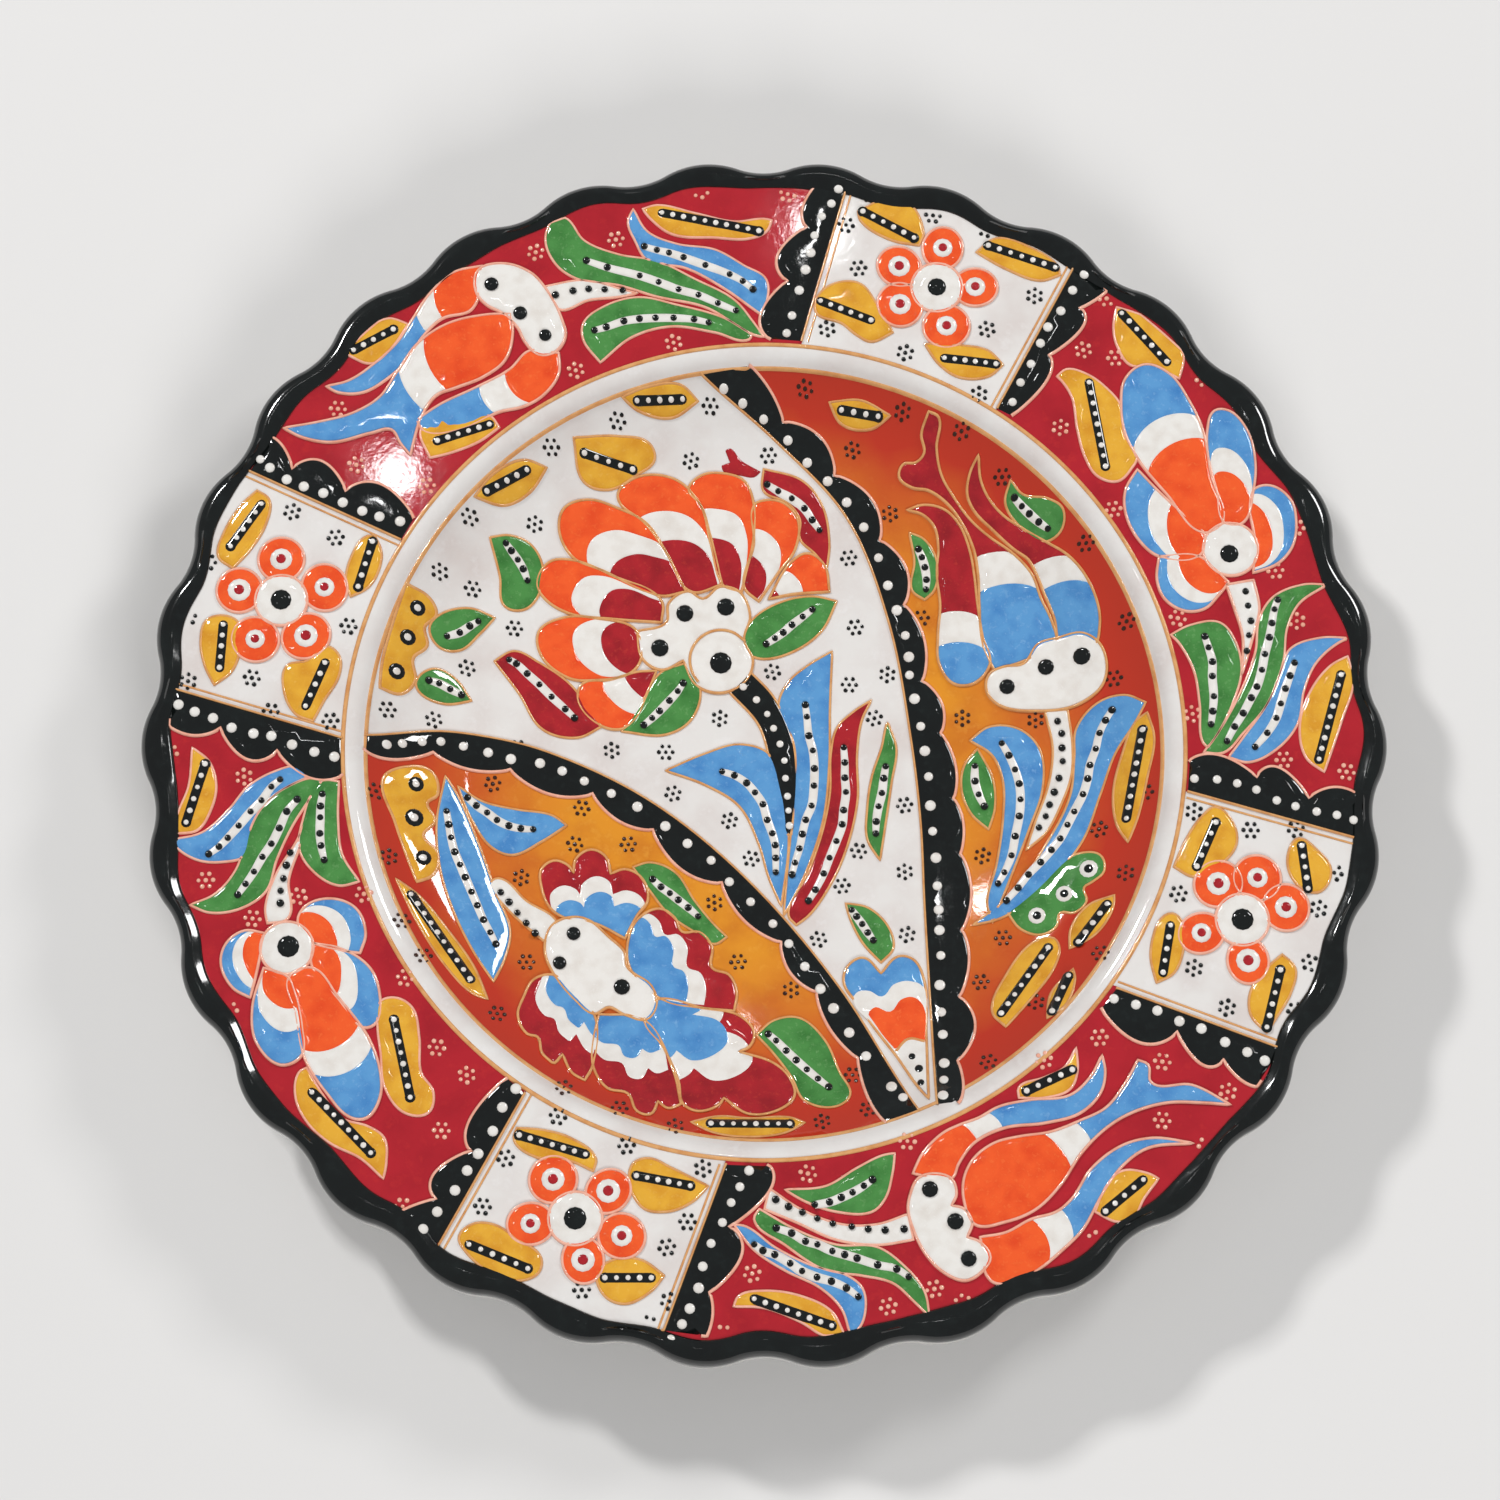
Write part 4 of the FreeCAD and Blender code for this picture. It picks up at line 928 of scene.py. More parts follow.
# ---------------------------------------------------------------- red field, bottom right
# The second tulip, its stem to the left, with two green leaves and a blue one.
name = "tulip_bottom_right"
leaf(name, "blue", [(-3.5, -97.5), (2, -101.5), (9, -105), (16, -107), (19, -109.5), (19.5, -114),
    (18, -117.5), (16.5, -118), (15, -113.5), (11, -109.5), (4, -106), (-2, -102), (-6, -97)],
    [(-2, -101), (-0.3, -102.2), (2, -103), (5, -104.7), (7.3, -106.2), (10.2, -107.4), (13, -108.2),
     (15.9, -109.5), (18.2, -111.2)])
leaf(name, "green", [(-1, -94), (6, -98), (14, -101), (22, -101.5), (27, -105), (31, -110), (32, -115),
    (29, -112), (25, -108.5), (19, -107), (12, -106), (4, -101), (-2, -96)],
    [(2.3, -97.8), (5.3, -98.8), (8, -100.4), (10.3, -101), (13.2, -102.3), (15.6, -103), (18, -103.7),
     (22, -105), (25.7, -105.8), (28, -107.3)])
leaf(name, "green", [(4, -90.2), (12, -89.5), (18, -86), (23, -83.5), (25.5, -83), (25, -87), (23.5, -92),
    (21, -94.5), (14, -94.5), (8, -92.5)],
    [(9.8, -93.2), (12.7, -92.7), (15, -91.8), (17.2, -90.8), (19.4, -89.5), (21.1, -88.3)])
leaf(name, "cream", [(1, -90), (7, -94), (15, -97), (22, -97), (28, -95), (29, -100), (22, -101), (14, -100),
    (6, -96.5), (0, -94)],
    [(2.2, -92.2), (4.7, -93.6), (7.4, -94.7), (10.3, -95.9), (13.3, -96.9), (17, -97.5), (20.2, -98),
     (23.5, -98.2), (27.2, -98)], streak=None)
petal(name, [(29, -87), (31, -83), (35, -79), (38, -77.5), (42, -76), (46, -73.8), (52, -72.5), (60, -71.5),
    (64, -68), (66.5, -63.5), (67, -67), (66, -71), (62, -75), (55, -77), (47, -78), (41, -81), (38, -85),
    (36.5, -88)],
    [("orange", (33, -84), 9.3), ("cream", (33, -84), 15), ("blue",)])
petal(name, [(42, -99.5), (47, -98.6), (52, -96), (57, -94.5), (60, -92), (64, -86), (70, -81.5), (76, -80),
    (84, -81), (75, -82), (70, -85.5), (66, -91), (62, -98), (58, -102), (53, -106), (48, -108.5),
    (44, -108)],
    [("orange", (46, -103), 9.5), ("cream", (46, -103), 15), ("blue",)])
petal(name, [(39, -92.5), (39, -88), (41, -84), (45, -81), (50, -79.7), (56, -78.8), (62, -76.5), (67, -74),
    (71, -69), (73.5, -64.5), (75.5, -65.5), (76, -69), (84, -69.5), (91.5, -73.4), (86, -73), (79, -73),
    (72, -75), (67, -78), (62, -83), (58, -89), (53, -94), (47, -96.5), (41, -97)],
    [("orange", (47, -90), 13.5), ("cream", (47, -90), 19.5), ("blue",)], height=0.62)
petal(name, [(28.5, -91), (30, -88), (33, -87), (36.5, -88), (37.5, -91), (36.5, -93.3), (39, -94),
    (40.5, -96.5), (39.5, -99.5), (42, -100.5), (44, -103.5), (42, -106.5), (39, -108), (35, -106.5),
    (31.5, -103), (29, -98), (28, -94)], [("cream",)], height=0.62)
dots(name, "black", [(32.3, -90.2), (37.2, -96.5), (39.7, -103.8)], 1.5, 0.35, 0.82)
barred_leaf(name, [(-6, -113), (-5, -111), (0, -110), (7, -111), (13, -114), (15.5, -118.5), (12, -118.8),
    (7, -116), (0, -113.3)], (-2, -111.6), (13, -116.8))
barred_leaf(name, [(50, -72), (50, -70), (55, -68), (59, -66), (61.4, -62), (61.5, -67), (60, -70.3),
    (55, -72)], (51.5, -70.7), (60.5, -66.5))
barred_leaf(name, [(64.5, -94.5), (67, -89), (70, -86.5), (75, -87), (77, -88), (74, -92), (72, -95.5),
    (69, -96.5)], (74, -88.3), (66.5, -94.5))
clusters(name, "pink", [(66, -60), (78.3, -64.8), (55, -64.5), (91, -70.8), (78, -76.5), (86.5, -81.5),
    (64.5, -100), (79, -91.5), (8.5, -87), (21.5, -91.5), (28, -80.6), (33, -109.6), (24, -113),
    (38.5, -112.3), (-2.4, -106.6), (-8, -118.3)])
lay(name, name)

# ---------------------------------------------------------------- red field, bottom left
# The second blossom, its stem rising to the bar, with two green leaves, a blue one and three mustard ones.
name = "blossom_bottom_left"
EYE = (-94.5, -42)
leaf(name, "blue", [(-118, -20), (-112, -18.5), (-107, -14), (-103, -9), (-98, -6), (-93, -5), (-91, -7),
    (-95, -9), (-99, -12), (-102, -17), (-103, -23), (-108, -24.5), (-113, -24), (-117.5, -21)],
    [(-96.7, -7.7), (-98.4, -9.2), (-100.3, -12), (-102.4, -14.3), (-104.7, -17.2), (-106.8, -19.7),
     (-108.5, -21.5), (-110.5, -23)])
leaf(name, "green", [(-114, -33.3), (-109, -31), (-105, -26), (-103, -19), (-100, -13), (-95, -9),
    (-89, -7.5), (-88.5, -8), (-91, -12), (-94, -17), (-97, -24), (-99, -30.5), (-104, -34), (-110, -34.8)],
    [(-93.2, -11.8), (-95.2, -14.3), (-96.6, -17.7), (-98.1, -20.9), (-99.8, -23.6), (-101.4, -26.6),
     (-103, -29.1), (-104.5, -31.3)])
leaf(name, "green", [(-85, -8), (-85, -16), (-84, -23), (-80.5, -28.5), (-84.5, -29.3), (-89, -27),
    (-92.5, -22), (-92, -16), (-88.5, -8)],
    [(-88.2, -10.7), (-88.5, -13.2), (-88.5, -15.5), (-88.5, -18.8), (-88.2, -21.3), (-87.5, -24.2)])
leaf(name, "cream", [(-90, -12), (-93, -20), (-97, -27), (-99, -34), (-98.5, -37), (-94.5, -36), (-94.5, -28),
    (-92, -20)],
    [(-94.3, -22.7), (-95, -25.3), (-95.5, -28), (-96, -30.5), (-96, -33)], streak=None)
petal(name, [(-92.5, -36.5), (-91, -33.5), (-86, -32), (-81, -34), (-79, -39), (-80, -43), (-84, -42.5),
    (-90, -40.5)],
    [("orange", EYE, 0.62), ("cream", EYE, 0.8), ("blue",)])
petal(name, [(-99, -39), (-103, -38.5), (-106.5, -41), (-107.5, -45), (-105, -50), (-101.5, -52),
    (-100.5, -47.5)],
    [("orange", EYE, 0.66), ("cream", EYE, 0.82), ("blue",)])
petal(name, [(-89.5, -41), (-84, -42), (-78, -46), (-76, -51), (-76.5, -57), (-79, -58), (-84, -52.5),
    (-89.5, -45.5)],
    [("orange", EYE, 0.58), ("cream", EYE, 0.76), ("blue",)])
petal(name, [(-99, -46), (-101, -54), (-100, -61), (-95, -65.5), (-91, -63.5), (-91, -58), (-93, -50),
    (-94, -48)],
    [("orange", EYE, 0.52), ("cream", EYE, 0.72), ("blue",)], height=0.62)
petal(name, [(-94, -48), (-92.5, -55), (-90.5, -64), (-86, -71), (-81, -76), (-78, -76), (-75.5, -72),
    (-75.5, -67), (-78, -60), (-84, -52), (-89.5, -46)],
    [("orange", (-93, -44), 20), ("cream", (-93, -44), 25.5), ("blue",)], height=0.6)
disc(name, EYE, 5.3, (-94.2, -41.8), 2.2)
barred_leaf(name, [(-114.5, -1), (-111, -4), (-109.5, -9), (-110.5, -14), (-113, -18), (-117, -18.7),
    (-117, -15), (-115, -9)], (-111.8, -4.5), (-115.2, -16.5))
barred_leaf(name, [(-76, -53), (-73, -52), (-69.5, -54), (-68, -60), (-67.5, -67), (-65, -71), (-66, -75),
    (-70.5, -75), (-74.5, -70), (-75.5, -63), (-76.2, -58)], (-73, -56.5), (-69.5, -72))
barred_leaf(name, [(-90, -66), (-87, -71), (-83, -76), (-77.5, -77.8), (-74.5, -80), (-74, -85), (-74.5, -88),
    (-79, -84), (-85, -81), (-89.5, -77), (-92, -72), (-91.5, -67)], (-88.8, -71), (-77, -83))
clusters(name, "pink", [(-119, -2), (-104, -7), (-119, -13), (-111, -28.2), (-92.5, -31.5), (-101.5, -36),
    (-79.5, -31), (-113, -41), (-105.5, -54.5), (-71, -48), (-64.5, -62), (-58.5, -67.5), (-98, -69.5),
    (-63.3, -78.5), (-87.5, -85.5), (-70.6, -93.5)])
lay(name, name)

# ---------------------------------------------------------------- white ground of the well
# A great carnation: a fan of scalloped petals, dark red at the heart, then white, then orange. A
# black stem runs down to two blue leaves and a red one, and a bud stands where the two bars meet.
name = "carnation_large"
HEART = (-12, 25)
FAN = [
    [(-46.5, 37), (-44, 41.5), (-39, 42), (-31, 39), (-21, 34), (-21, 29.5), (-31, 30), (-40, 31), (-45, 34)],
    [(-42, 48), (-41, 52.5), (-36, 54.5), (-30, 53), (-24, 50), (-20, 44), (-16, 36), (-21, 35), (-33, 40),
     (-39, 42.5)],
    [(-30, 56), (-27, 59), (-22, 60), (-17, 58.5), (-13, 54), (-11, 48), (-8.5, 37.5), (-15, 36), (-20, 44),
     (-25, 50.5), (-29.5, 54)],
    [(-15.5, 57), (-13, 60), (-8, 60.5), (-4, 59), (-2, 54), (-2, 48), (-4.5, 36), (-8, 37), (-11, 46),
     (-13, 54)],
    [(-2, 54), (0, 55), (4, 54.5), (7, 51), (6.5, 45), (3, 40), (-1, 34), (-4, 37), (-2, 46)],
    [(5.5, 42), (9, 44), (12.5, 41.5), (13.5, 36), (6, 35.5), (1, 34.5)],
    [(-46, 27), (-45.5, 22), (-40, 17.5), (-36, 17), (-26, 20), (-26, 27.5), (-34, 30), (-41, 30)],
    [(-37, 16.3), (-38, 13), (-34, 8), (-29, 7), (-26, 9.5), (-24, 14), (-22, 19.3), (-26, 19),
     (-31.5, 17.2)],
]
for outline in FAN:
    petal(name, outline, [("darkred", HEART, 0.62), ("cream", HEART, 0.79), ("orange",)], "tan", 0.52)
leaf(name, "darkred", [(0, 61.5), (8, 59), (12, 54), (13.5, 46), (13, 41), (10.5, 44), (7.5, 47), (7.5, 51),
    (5, 54.5), (0, 57)],
    [(0.7, 58.2), (3, 56.8), (5.8, 55.3), (8.4, 53.2), (10, 50.8), (11.5, 48.7)], "tan")
deposit(name, "darkred", smooth([(-8.8, 62.2), (-7, 62.8), (-8, 65.2), (-6.8, 65.6), (-4.8, 63.4), (-2.5, 62),
    (-0.5, 61), (-2, 59.8), (-5, 60.2), (-8.2, 60.8)]), 0.4, 0.6)
petal(name, [(-26, 27.5), (-25, 22), (-21, 19.5), (-16.5, 21.5), (-14, 16.5), (-9, 14.8), (-4, 17),
    (-2.2, 21.5), (-4, 26), (-2.8, 31), (-5, 36), (-9, 37), (-12.5, 34.5), (-15.5, 36), (-19.5, 33.5),
    (-20, 29.5)], [("cream",)], "tan", 0.58)
line(name, "tan", smooth([(-3.8, 25.6), (-6.5, 27.5), (-10, 27.8), (-13.4, 25.9), (-15.1, 22.5),
    (-14.6, 18.9), (-13.4, 17)], closed=False), 0.6, 0.3, 0.6, False)
dots(name, "black", [(-16.2, 31.3), (-7.8, 32.7), (-21.3, 24)], 1.7, 0.35, 0.7)
dots(name, "black", [(-8.8, 21)], 2.4, 0.4, 0.7)
lay(name, name)

name = "well_leaves"
leaf(name, "green", [(-29, 6.5), (-25, 13), (-21, 19), (-16, 21), (-13, 15.5), (-15, 9), (-20, 6)],
    [(-24.5, 7.8), (-22.8, 9.3), (-21.3, 10.8), (-19.3, 13), (-17.6, 15), (-16.5, 16.7)], "tan")
leaf(name, "darkred", [(-55, 20.5), (-51, 22.7), (-46, 20.5), (-40, 16.5), (-37, 13), (-33, 7.5), (-38, 5),
    (-45, 6.5), (-50, 14)],
    [(-52, 20.8), (-50.5, 20), (-48.3, 18), (-45.8, 15.8), (-43.3, 13.3), (-40.5, 10.8), (-38.6, 9)], "tan")
leaf(name, "green", [(-56, 45.5), (-52, 46.3), (-48, 45), (-45.5, 41), (-46, 35), (-49, 31.5), (-53, 32),
    (-54, 38)],
    [(-52.8, 44.6), (-51.7, 43.2), (-50.4, 41.5), (-49.3, 39.7), (-48.4, 37.4)], "tan")
leaf(name, "green", [(-68, 26), (-66, 22.5), (-62, 22.3), (-58, 26), (-55, 29.5), (-60, 31), (-66, 29)],
    [(-64.5, 24.8), (-62, 25.8), (-60, 27.3), (-58.3, 28.4)], "tan")
leaf(name, "green", [(-70.5, 15), (-67, 18), (-63, 16.5), (-59.5, 12), (-65, 11), (-70, 13)],
    [(-68, 15.4), (-66, 15), (-63.8, 14), (-61.5, 13)], "tan")
leaf(name, "green", [(-4.5, 26), (-2, 30.5), (4, 34), (10, 35), (15, 34), (12, 28), (7, 24), (0, 22),
    (-3, 23)],
    [(0.5, 25), (2.3, 26.2), (4, 27.4), (5.8, 29), (8, 30.7), (10, 32.2)], "tan")
leaf(name, "blue", [(-20, -1.6), (-12, 2), (-5, 4), (1, 2), (4, -6), (5, -16), (3.5, -30), (1, -24),
    (-1, -17), (-5, -9), (-12, -4.5)],
    [(-8.5, -1.8), (-6, -2.6), (-3.5, -4.2), (-1.8, -6.2), (-0.2, -8.7), (0.7, -12), (1.7, -14.8),
     (2.3, -17.3), (2.4, -20), (2.4, -23)], "tan")
leaf(name, "blue", [(14, 23.5), (9, 20.5), (5, 17), (3, 12), (6, 4), (6, -8), (5, -20), (4, -32), (8, -24),
    (12, -12), (13.3, 0), (13.5, 12)],
    [(8.5, 12.2), (8.8, 9.7), (9.2, 5.7), (10, 2.6), (10.3, -1.2), (10.2, -4.8), (9.7, -9), (8.5, -12),
     (7.8, -15), (7.2, -18), (6.3, -21), (5.7, -23.5)], "tan")
leaf(name, "darkred", [(22, 13.2), (18, 10.5), (15, 7.5), (13.7, 2), (13.5, -6), (12, -14), (9, -23),
    (5, -32), (6.5, -34), (9, -32), (12, -28), (16, -20), (19, -8), (19, 2), (20, 9)],
    [(16.3, 3.2), (16.5, 0), (16.5, -3.2), (16.7, -6.2), (16.2, -10), (15.9, -13), (14.7, -16.5), (13.3, -20),
     (12.1, -23.3), (10.4, -26.7), (9, -29)], "tan")
leaf(name, "green", [(25.5, 8), (24, 3), (22, -3), (21, -10), (21, -16), (23.5, -20.5), (24.5, -14), (26, -4),
    (27, 3)],
    [(24.8, -0.9), (24.4, -3.4), (24, -6.5), (23.3, -9.3), (22.8, -12.5), (22.7, -15)], "tan")
leaf(name, "green", [(16.5, -29.5), (21, -30.5), (25, -34.5), (26, -39), (23.5, -42), (20, -38), (17.5, -33)],
    [(17.7, -31), (18.7, -32.4), (19.8, -34), (20.9, -35.8), (22, -37.4)], "tan")
leaf(name, "black", [(-3, 19.5), (2, 14), (6, 5), (6.8, -4), (5.7, -15), (4.6, -15), (3.2, -8), (1.4, 0),
    (-1, 8), (-7, 15)],
    [(-4.2, 16), (-1.5, 13.3), (0.7, 10.3), (2, 7.3), (3.3, 4), (4.2, 0.5), (4.4, -3.2), (4.8, -7), (5, -10),
     (5.2, -13.2)], "tan", "cream", None)
for outline, start, end in (
        ([(-29, 74), (-24, 76), (-17, 76.8), (-13.5, 74.2), (-19, 71), (-26, 72)], (-26, 73.5),
         (-16.7, 74.3)),
        ([(-39, 66), (-30, 67), (-23.5, 66), (-22.5, 63), (-26, 60), (-32, 56.7), (-37, 58)], (-36.8, 63.3),
         (-27, 60.8)),
        ([(-59, 52.7), (-55, 57.5), (-49, 60.8), (-44.5, 60), (-48, 55), (-53, 52)], (-56.5, 54),
         (-48.5, 59))):
    barred_leaf(name, outline, start, end, "tan")
for outline, rings in (
        ([(-72.5, 34), (-68, 32), (-66.7, 29), (-69, 26.2), (-68.5, 22.5), (-71.2, 19.6), (-70.8, 15),
         (-73.5, 12), (-77.5, 12.5), (-77, 18), (-75, 26)], [(-70.3, 29.6), (-72.2, 23.5), (-74.3, 16.3)]),
        ([(-76.5, -6), (-73, -3.2), (-67.5, -3.2), (-66, -8), (-68, -10), (-66.4, -13.5), (-68.6, -17),
         (-65.6, -20.5), (-66.4, -25), (-69.5, -27), (-71.5, -22), (-74, -15)], [(-70.2, -6.4),
         (-70.4, -13.5), (-68.4, -21.8)])):
    loop = smooth(outline)
    deposit(name, "mustard", loop, 0.5, 0.9)
    line(name, "tan", loop, 0.75, 0.42)
    dots(name, "black", rings, 1.8, 0.3, 0.45)
    dots(name, "cream", rings, 0.8, 0.25, 0.68)
# The bud is painted blue, then white, then orange from its two lobes down to a white heel.
bud = smooth([(16, -46), (17, -42.5), (20, -41), (23.5, -44.3), (27, -40.8), (30, -41.5), (32, -45.5),
              (32.3, -57), (32.4, -71.5), (30.3, -68.5), (26.5, -62), (22.3, -56), (19, -51)])
deposit(name, "blue", bud, 0.5, 0.9)
deposit(name, "cream", smooth([(17.8, -49.7), (18.8, -48), (21.2, -47.8), (23.6, -49), (25.8, -46.6),
    (28.9, -45.8), (31.9, -47.2), (32.1, -57), (32.1, -70.5), (30.3, -68), (26.7, -62), (22.5, -56)]), 0.12,
    0.5, 0.42)
deposit(name, "orange", smooth([(20.4, -52.6), (22.3, -51.2), (25.2, -52.2), (27.2, -49.8), (29.8, -49.2),
    (31.9, -51), (32.1, -59), (28.8, -58.2), (26.2, -60.8), (23.8, -57.6)]), 0.12, 0.5, 0.46)
line(name, "tan", bud, 0.65, 0.54)
line(name, "tan", smooth([(26.2, -60.8), (28.8, -58.2), (32, -58.8)], closed=False), 0.6, 0.15, 0.5, False)
dots(name, "black", [(29.4, -62), (30.7, -64.7), (31, -67.8)], 0.8, 0.25, 0.5)
clusters(name, "black", [(-11, 73.4), (-30, 69.8), (-43.5, 63.8), (-15, 63), (1, 64.2), (-60, 48.8),
    (-47, 49), (-59.5, 35), (-51, 27.5), (-60.5, 18.8), (-50, 2.5), (-31, 2.5), (-20, 2.3), (-9, 9.5),
    (-66, 37.5), (-76, 8.3), (-67, 7.5), (1.8, 19.3), (17.5, 43), (18.8, 28.5), (25.3, 18.5), (17.5, 16.5),
    (22.6, 9.4), (28.6, -9), (19.2, -18.5), (15.8, -25.8), (28.5, -23), (11, -37), (28.8, -36.2),
    (-18.5, -6.4), (-7, -12), (-2.6, -20)], 0.42, 1.4)
lay(name)

# ---------------------------------------------------------------- amber ground, right
# A tulip with three petals, each blue at its base, then white, with a long dark red tip. Its white
# cup stands on a stem between two blue leaves.
name = "well_tulip"
petal(name, [(29.5, 52.7), (33, 53.6), (37.3, 52.4), (40.3, 49.1), (42.3, 43.9), (43.2, 38.7), (43.8, 32.7),
    (44.9, 25.8), (46.3, 20.6), (43, 16.3), (38.8, 16.3), (35.9, 20.6), (35.7, 26.7), (36.2, 32.7),
    (35.5, 39.6), (35.9, 44.8), (35.1, 49.1), (32.6, 51.7)],
    [("blue", (41, 10), 15), ("cream", (41, 10), 21.5), ("darkred",)], "tan")
petal(name, [(33.8, 71.1), (35.9, 69.8), (35.5, 64.6), (36.5, 59.4), (39.2, 54.6), (42.4, 50.2), (46.3, 46.5),
    (51.2, 42.7), (54.9, 38.3), (56.7, 33.3), (58.8, 28.5), (59.5, 24), (52.9, 20.5), (47.1, 18.9),
    (44.8, 24.1), (44.2, 32.7), (44, 38.7), (43.2, 43.9), (40.9, 49.3), (37.6, 53.8), (33.8, 56.5),
    (30.5, 57.2), (27.9, 59.4), (28.7, 61.8), (31.3, 62), (33, 63.7), (32.4, 67.2)],
    [("blue", (52, 19), 18), ("cream", (52, 19), 25), ("darkred",)], "tan")
petal(name, [(44, 62.4), (44.5, 57.7), (46.3, 53.8), (49.2, 50.4), (53.3, 47.4), (57.9, 44.3), (62, 41.3),
    (65.4, 37), (67.9, 31), (68.3, 26.7), (67, 22.5), (61, 23), (59.3, 29.2), (57.3, 34.4), (55.6, 38.7),
    (54.2, 41.3), (51.3, 43.6), (46.9, 47.9), (43.2, 51.9), (41.8, 55.3), (42.4, 59.4)],
    [("blue", (64, 20), 16.5), ("cream", (64, 20), 22), ("darkred",)], "tan")
petal(name, [(46, 18), (49, 19.5), (53, 20), (56, 24), (60, 25), (65, 25.5), (68.8, 22), (69, 15), (64, 11),
    (56, 10), (48, 11.5), (45.5, 14.5)], [("cream",)], "tan", 0.62)
dots(name, "black", [(49.6, 15.2), (57.5, 19), (64.7, 20.7)], 1.7, 0.35, 0.75)
leaf(name, "blue", [(42, 4.3), (46, 7), (52, 6.3), (56, 2), (56.5, -6), (53.5, -15), (50, -24), (46, -34),
    (45, -30), (47, -22), (48.5, -12), (48.5, -4), (46.5, 1)],
    [(48.4, 3.4), (49.8, 0.8), (51, -2.2), (51.8, -5.2), (52, -8.5), (51.7, -12), (50.8, -16.2), (50, -20.2),
     (48.5, -23.7), (47.2, -26)], "tan")
leaf(name, "blue", [(63.5, 6), (68, 11), (73, 11.8), (77, 9.6), (75, 6), (71, 0), (68, -8), (64, -18),
    (55, -28), (48, -33), (42, -34.5), (50, -28), (57, -18), (62, -8), (63, 0)],
    [(70.5, 9), (69.2, 7), (68, 4.5), (67.2, 1.3), (66, -2), (65.5, -4.8), (64.5, -8), (62.7, -11.5),
     (61.3, -14.2), (59.8, -17), (58, -19.3), (55.8, -21.8), (53.3, -24.3), (51.2, -27), (48.8, -29.6)],
     "tan")
leaf(name, "cream", [(57.2, 10), (61.8, 10), (62.6, 2), (62.2, -4), (60, -10), (57, -15.5), (53, -19),
    (55, -13), (57.6, -6), (58.7, 2)],
    [(59.7, 7.6), (60.5, 5), (60.5, 2), (60.6, -0.8), (59.8, -4.3), (58.8, -7.2), (57.8, -9.8), (57, -12.2),
     (55.6, -14.5)], "tan", streak=None)
leaf(name, "green", [(43.5, 2.5), (40.8, -1), (40.2, -6), (42, -11), (45.5, -14.5), (46.8, -10), (46.5, -4)],
    [(42.9, -1.2), (42.9, -4.4), (43.6, -7.2), (44.7, -9.7)], "tan")
leaf(name, "green", [(50.5, 57), (49.5, 53), (52, 48.5), (57, 44.5), (60.5, 46), (61, 50), (58, 52.5),
    (53, 54)],
    [(51.3, 53.5), (52.8, 51.7), (54.3, 50.1), (56.2, 48.3), (58, 46.8)], "tan")
leaf(name, "green", [(30, 48), (33, 46.5), (35.5, 42), (35, 36), (33, 34), (30.5, 36), (31, 42)],
    [(31.8, 44.4), (32.5, 42.7), (33.1, 40.6), (33.4, 38), (33.3, 36)], "tan")
leaf(name, "green", [(60, -22), (63.5, -20.3), (67.5, -21), (68.2, -24.5), (65.8, -26.6), (64.2, -27.6),
    (64.6, -30.6), (62.2, -32.8), (59.4, -32.6), (58.6, -35.4), (55.6, -37), (51.6, -35.6), (49, -32),
    (55, -27)], [], "tan")
dots(name, "cream", [(65.2, -23.8), (60.3, -28.7), (54.8, -33)], 1.8, 0.3, 0.45)
dots(name, "black", [(65.2, -23.8), (60.3, -28.7), (54.8, -33)], 0.9, 0.25, 0.68)
for outline, start, end in (
        ([(13.5, 74), (20, 74), (26, 71), (22, 68.8), (16, 70)], (16, 72.4), (23.5, 70.9)),
        ([(77.3, 7.5), (78.5, 2), (77, -6), (75, -14), (73, -19), (71, -15), (70.5, -8), (72.5, 0), (75, 6)],
         (76.3, 4), (72.8, -14)),
        ([(70, -30), (69.5, -33), (66, -38), (61, -40.5), (61.5, -36), (65, -31.5)], (68.5, -31.8),
         (62.7, -39.3)),
        ([(58, -38), (55, -38), (48, -46), (45.5, -53), (48, -56.5), (52, -52), (58, -44), (59, -40)],
         (56.8, -40), (47.2, -53.5)),
        ([(61.5, -45), (57, -50), (56, -55.5), (59.5, -53), (61.7, -47.5)], (60.5, -46.5), (57, -54))):
    barred_leaf(name, outline, start, end, "tan")
clusters(name, "umber", [(8.5, 76.5), (28.5, 71.5), (18.3, 65), (40.5, 67), (26, 52), (32.3, 30.2), (40.5, 9),
    (55.3, 8.2), (48.8, 57.8), (65.6, 43), (73.5, 26.5), (71, 15.5), (74.5, 4.2), (76.5, -9), (67.5, -15.5),
    (72.3, -25.5), (48, -37.3), (43.4, -46.5), (54, -51.5), (44.3, -64), (66.8, -42.3), (44.2, -20)], 0.42,
    1.4)
lay(name, name)

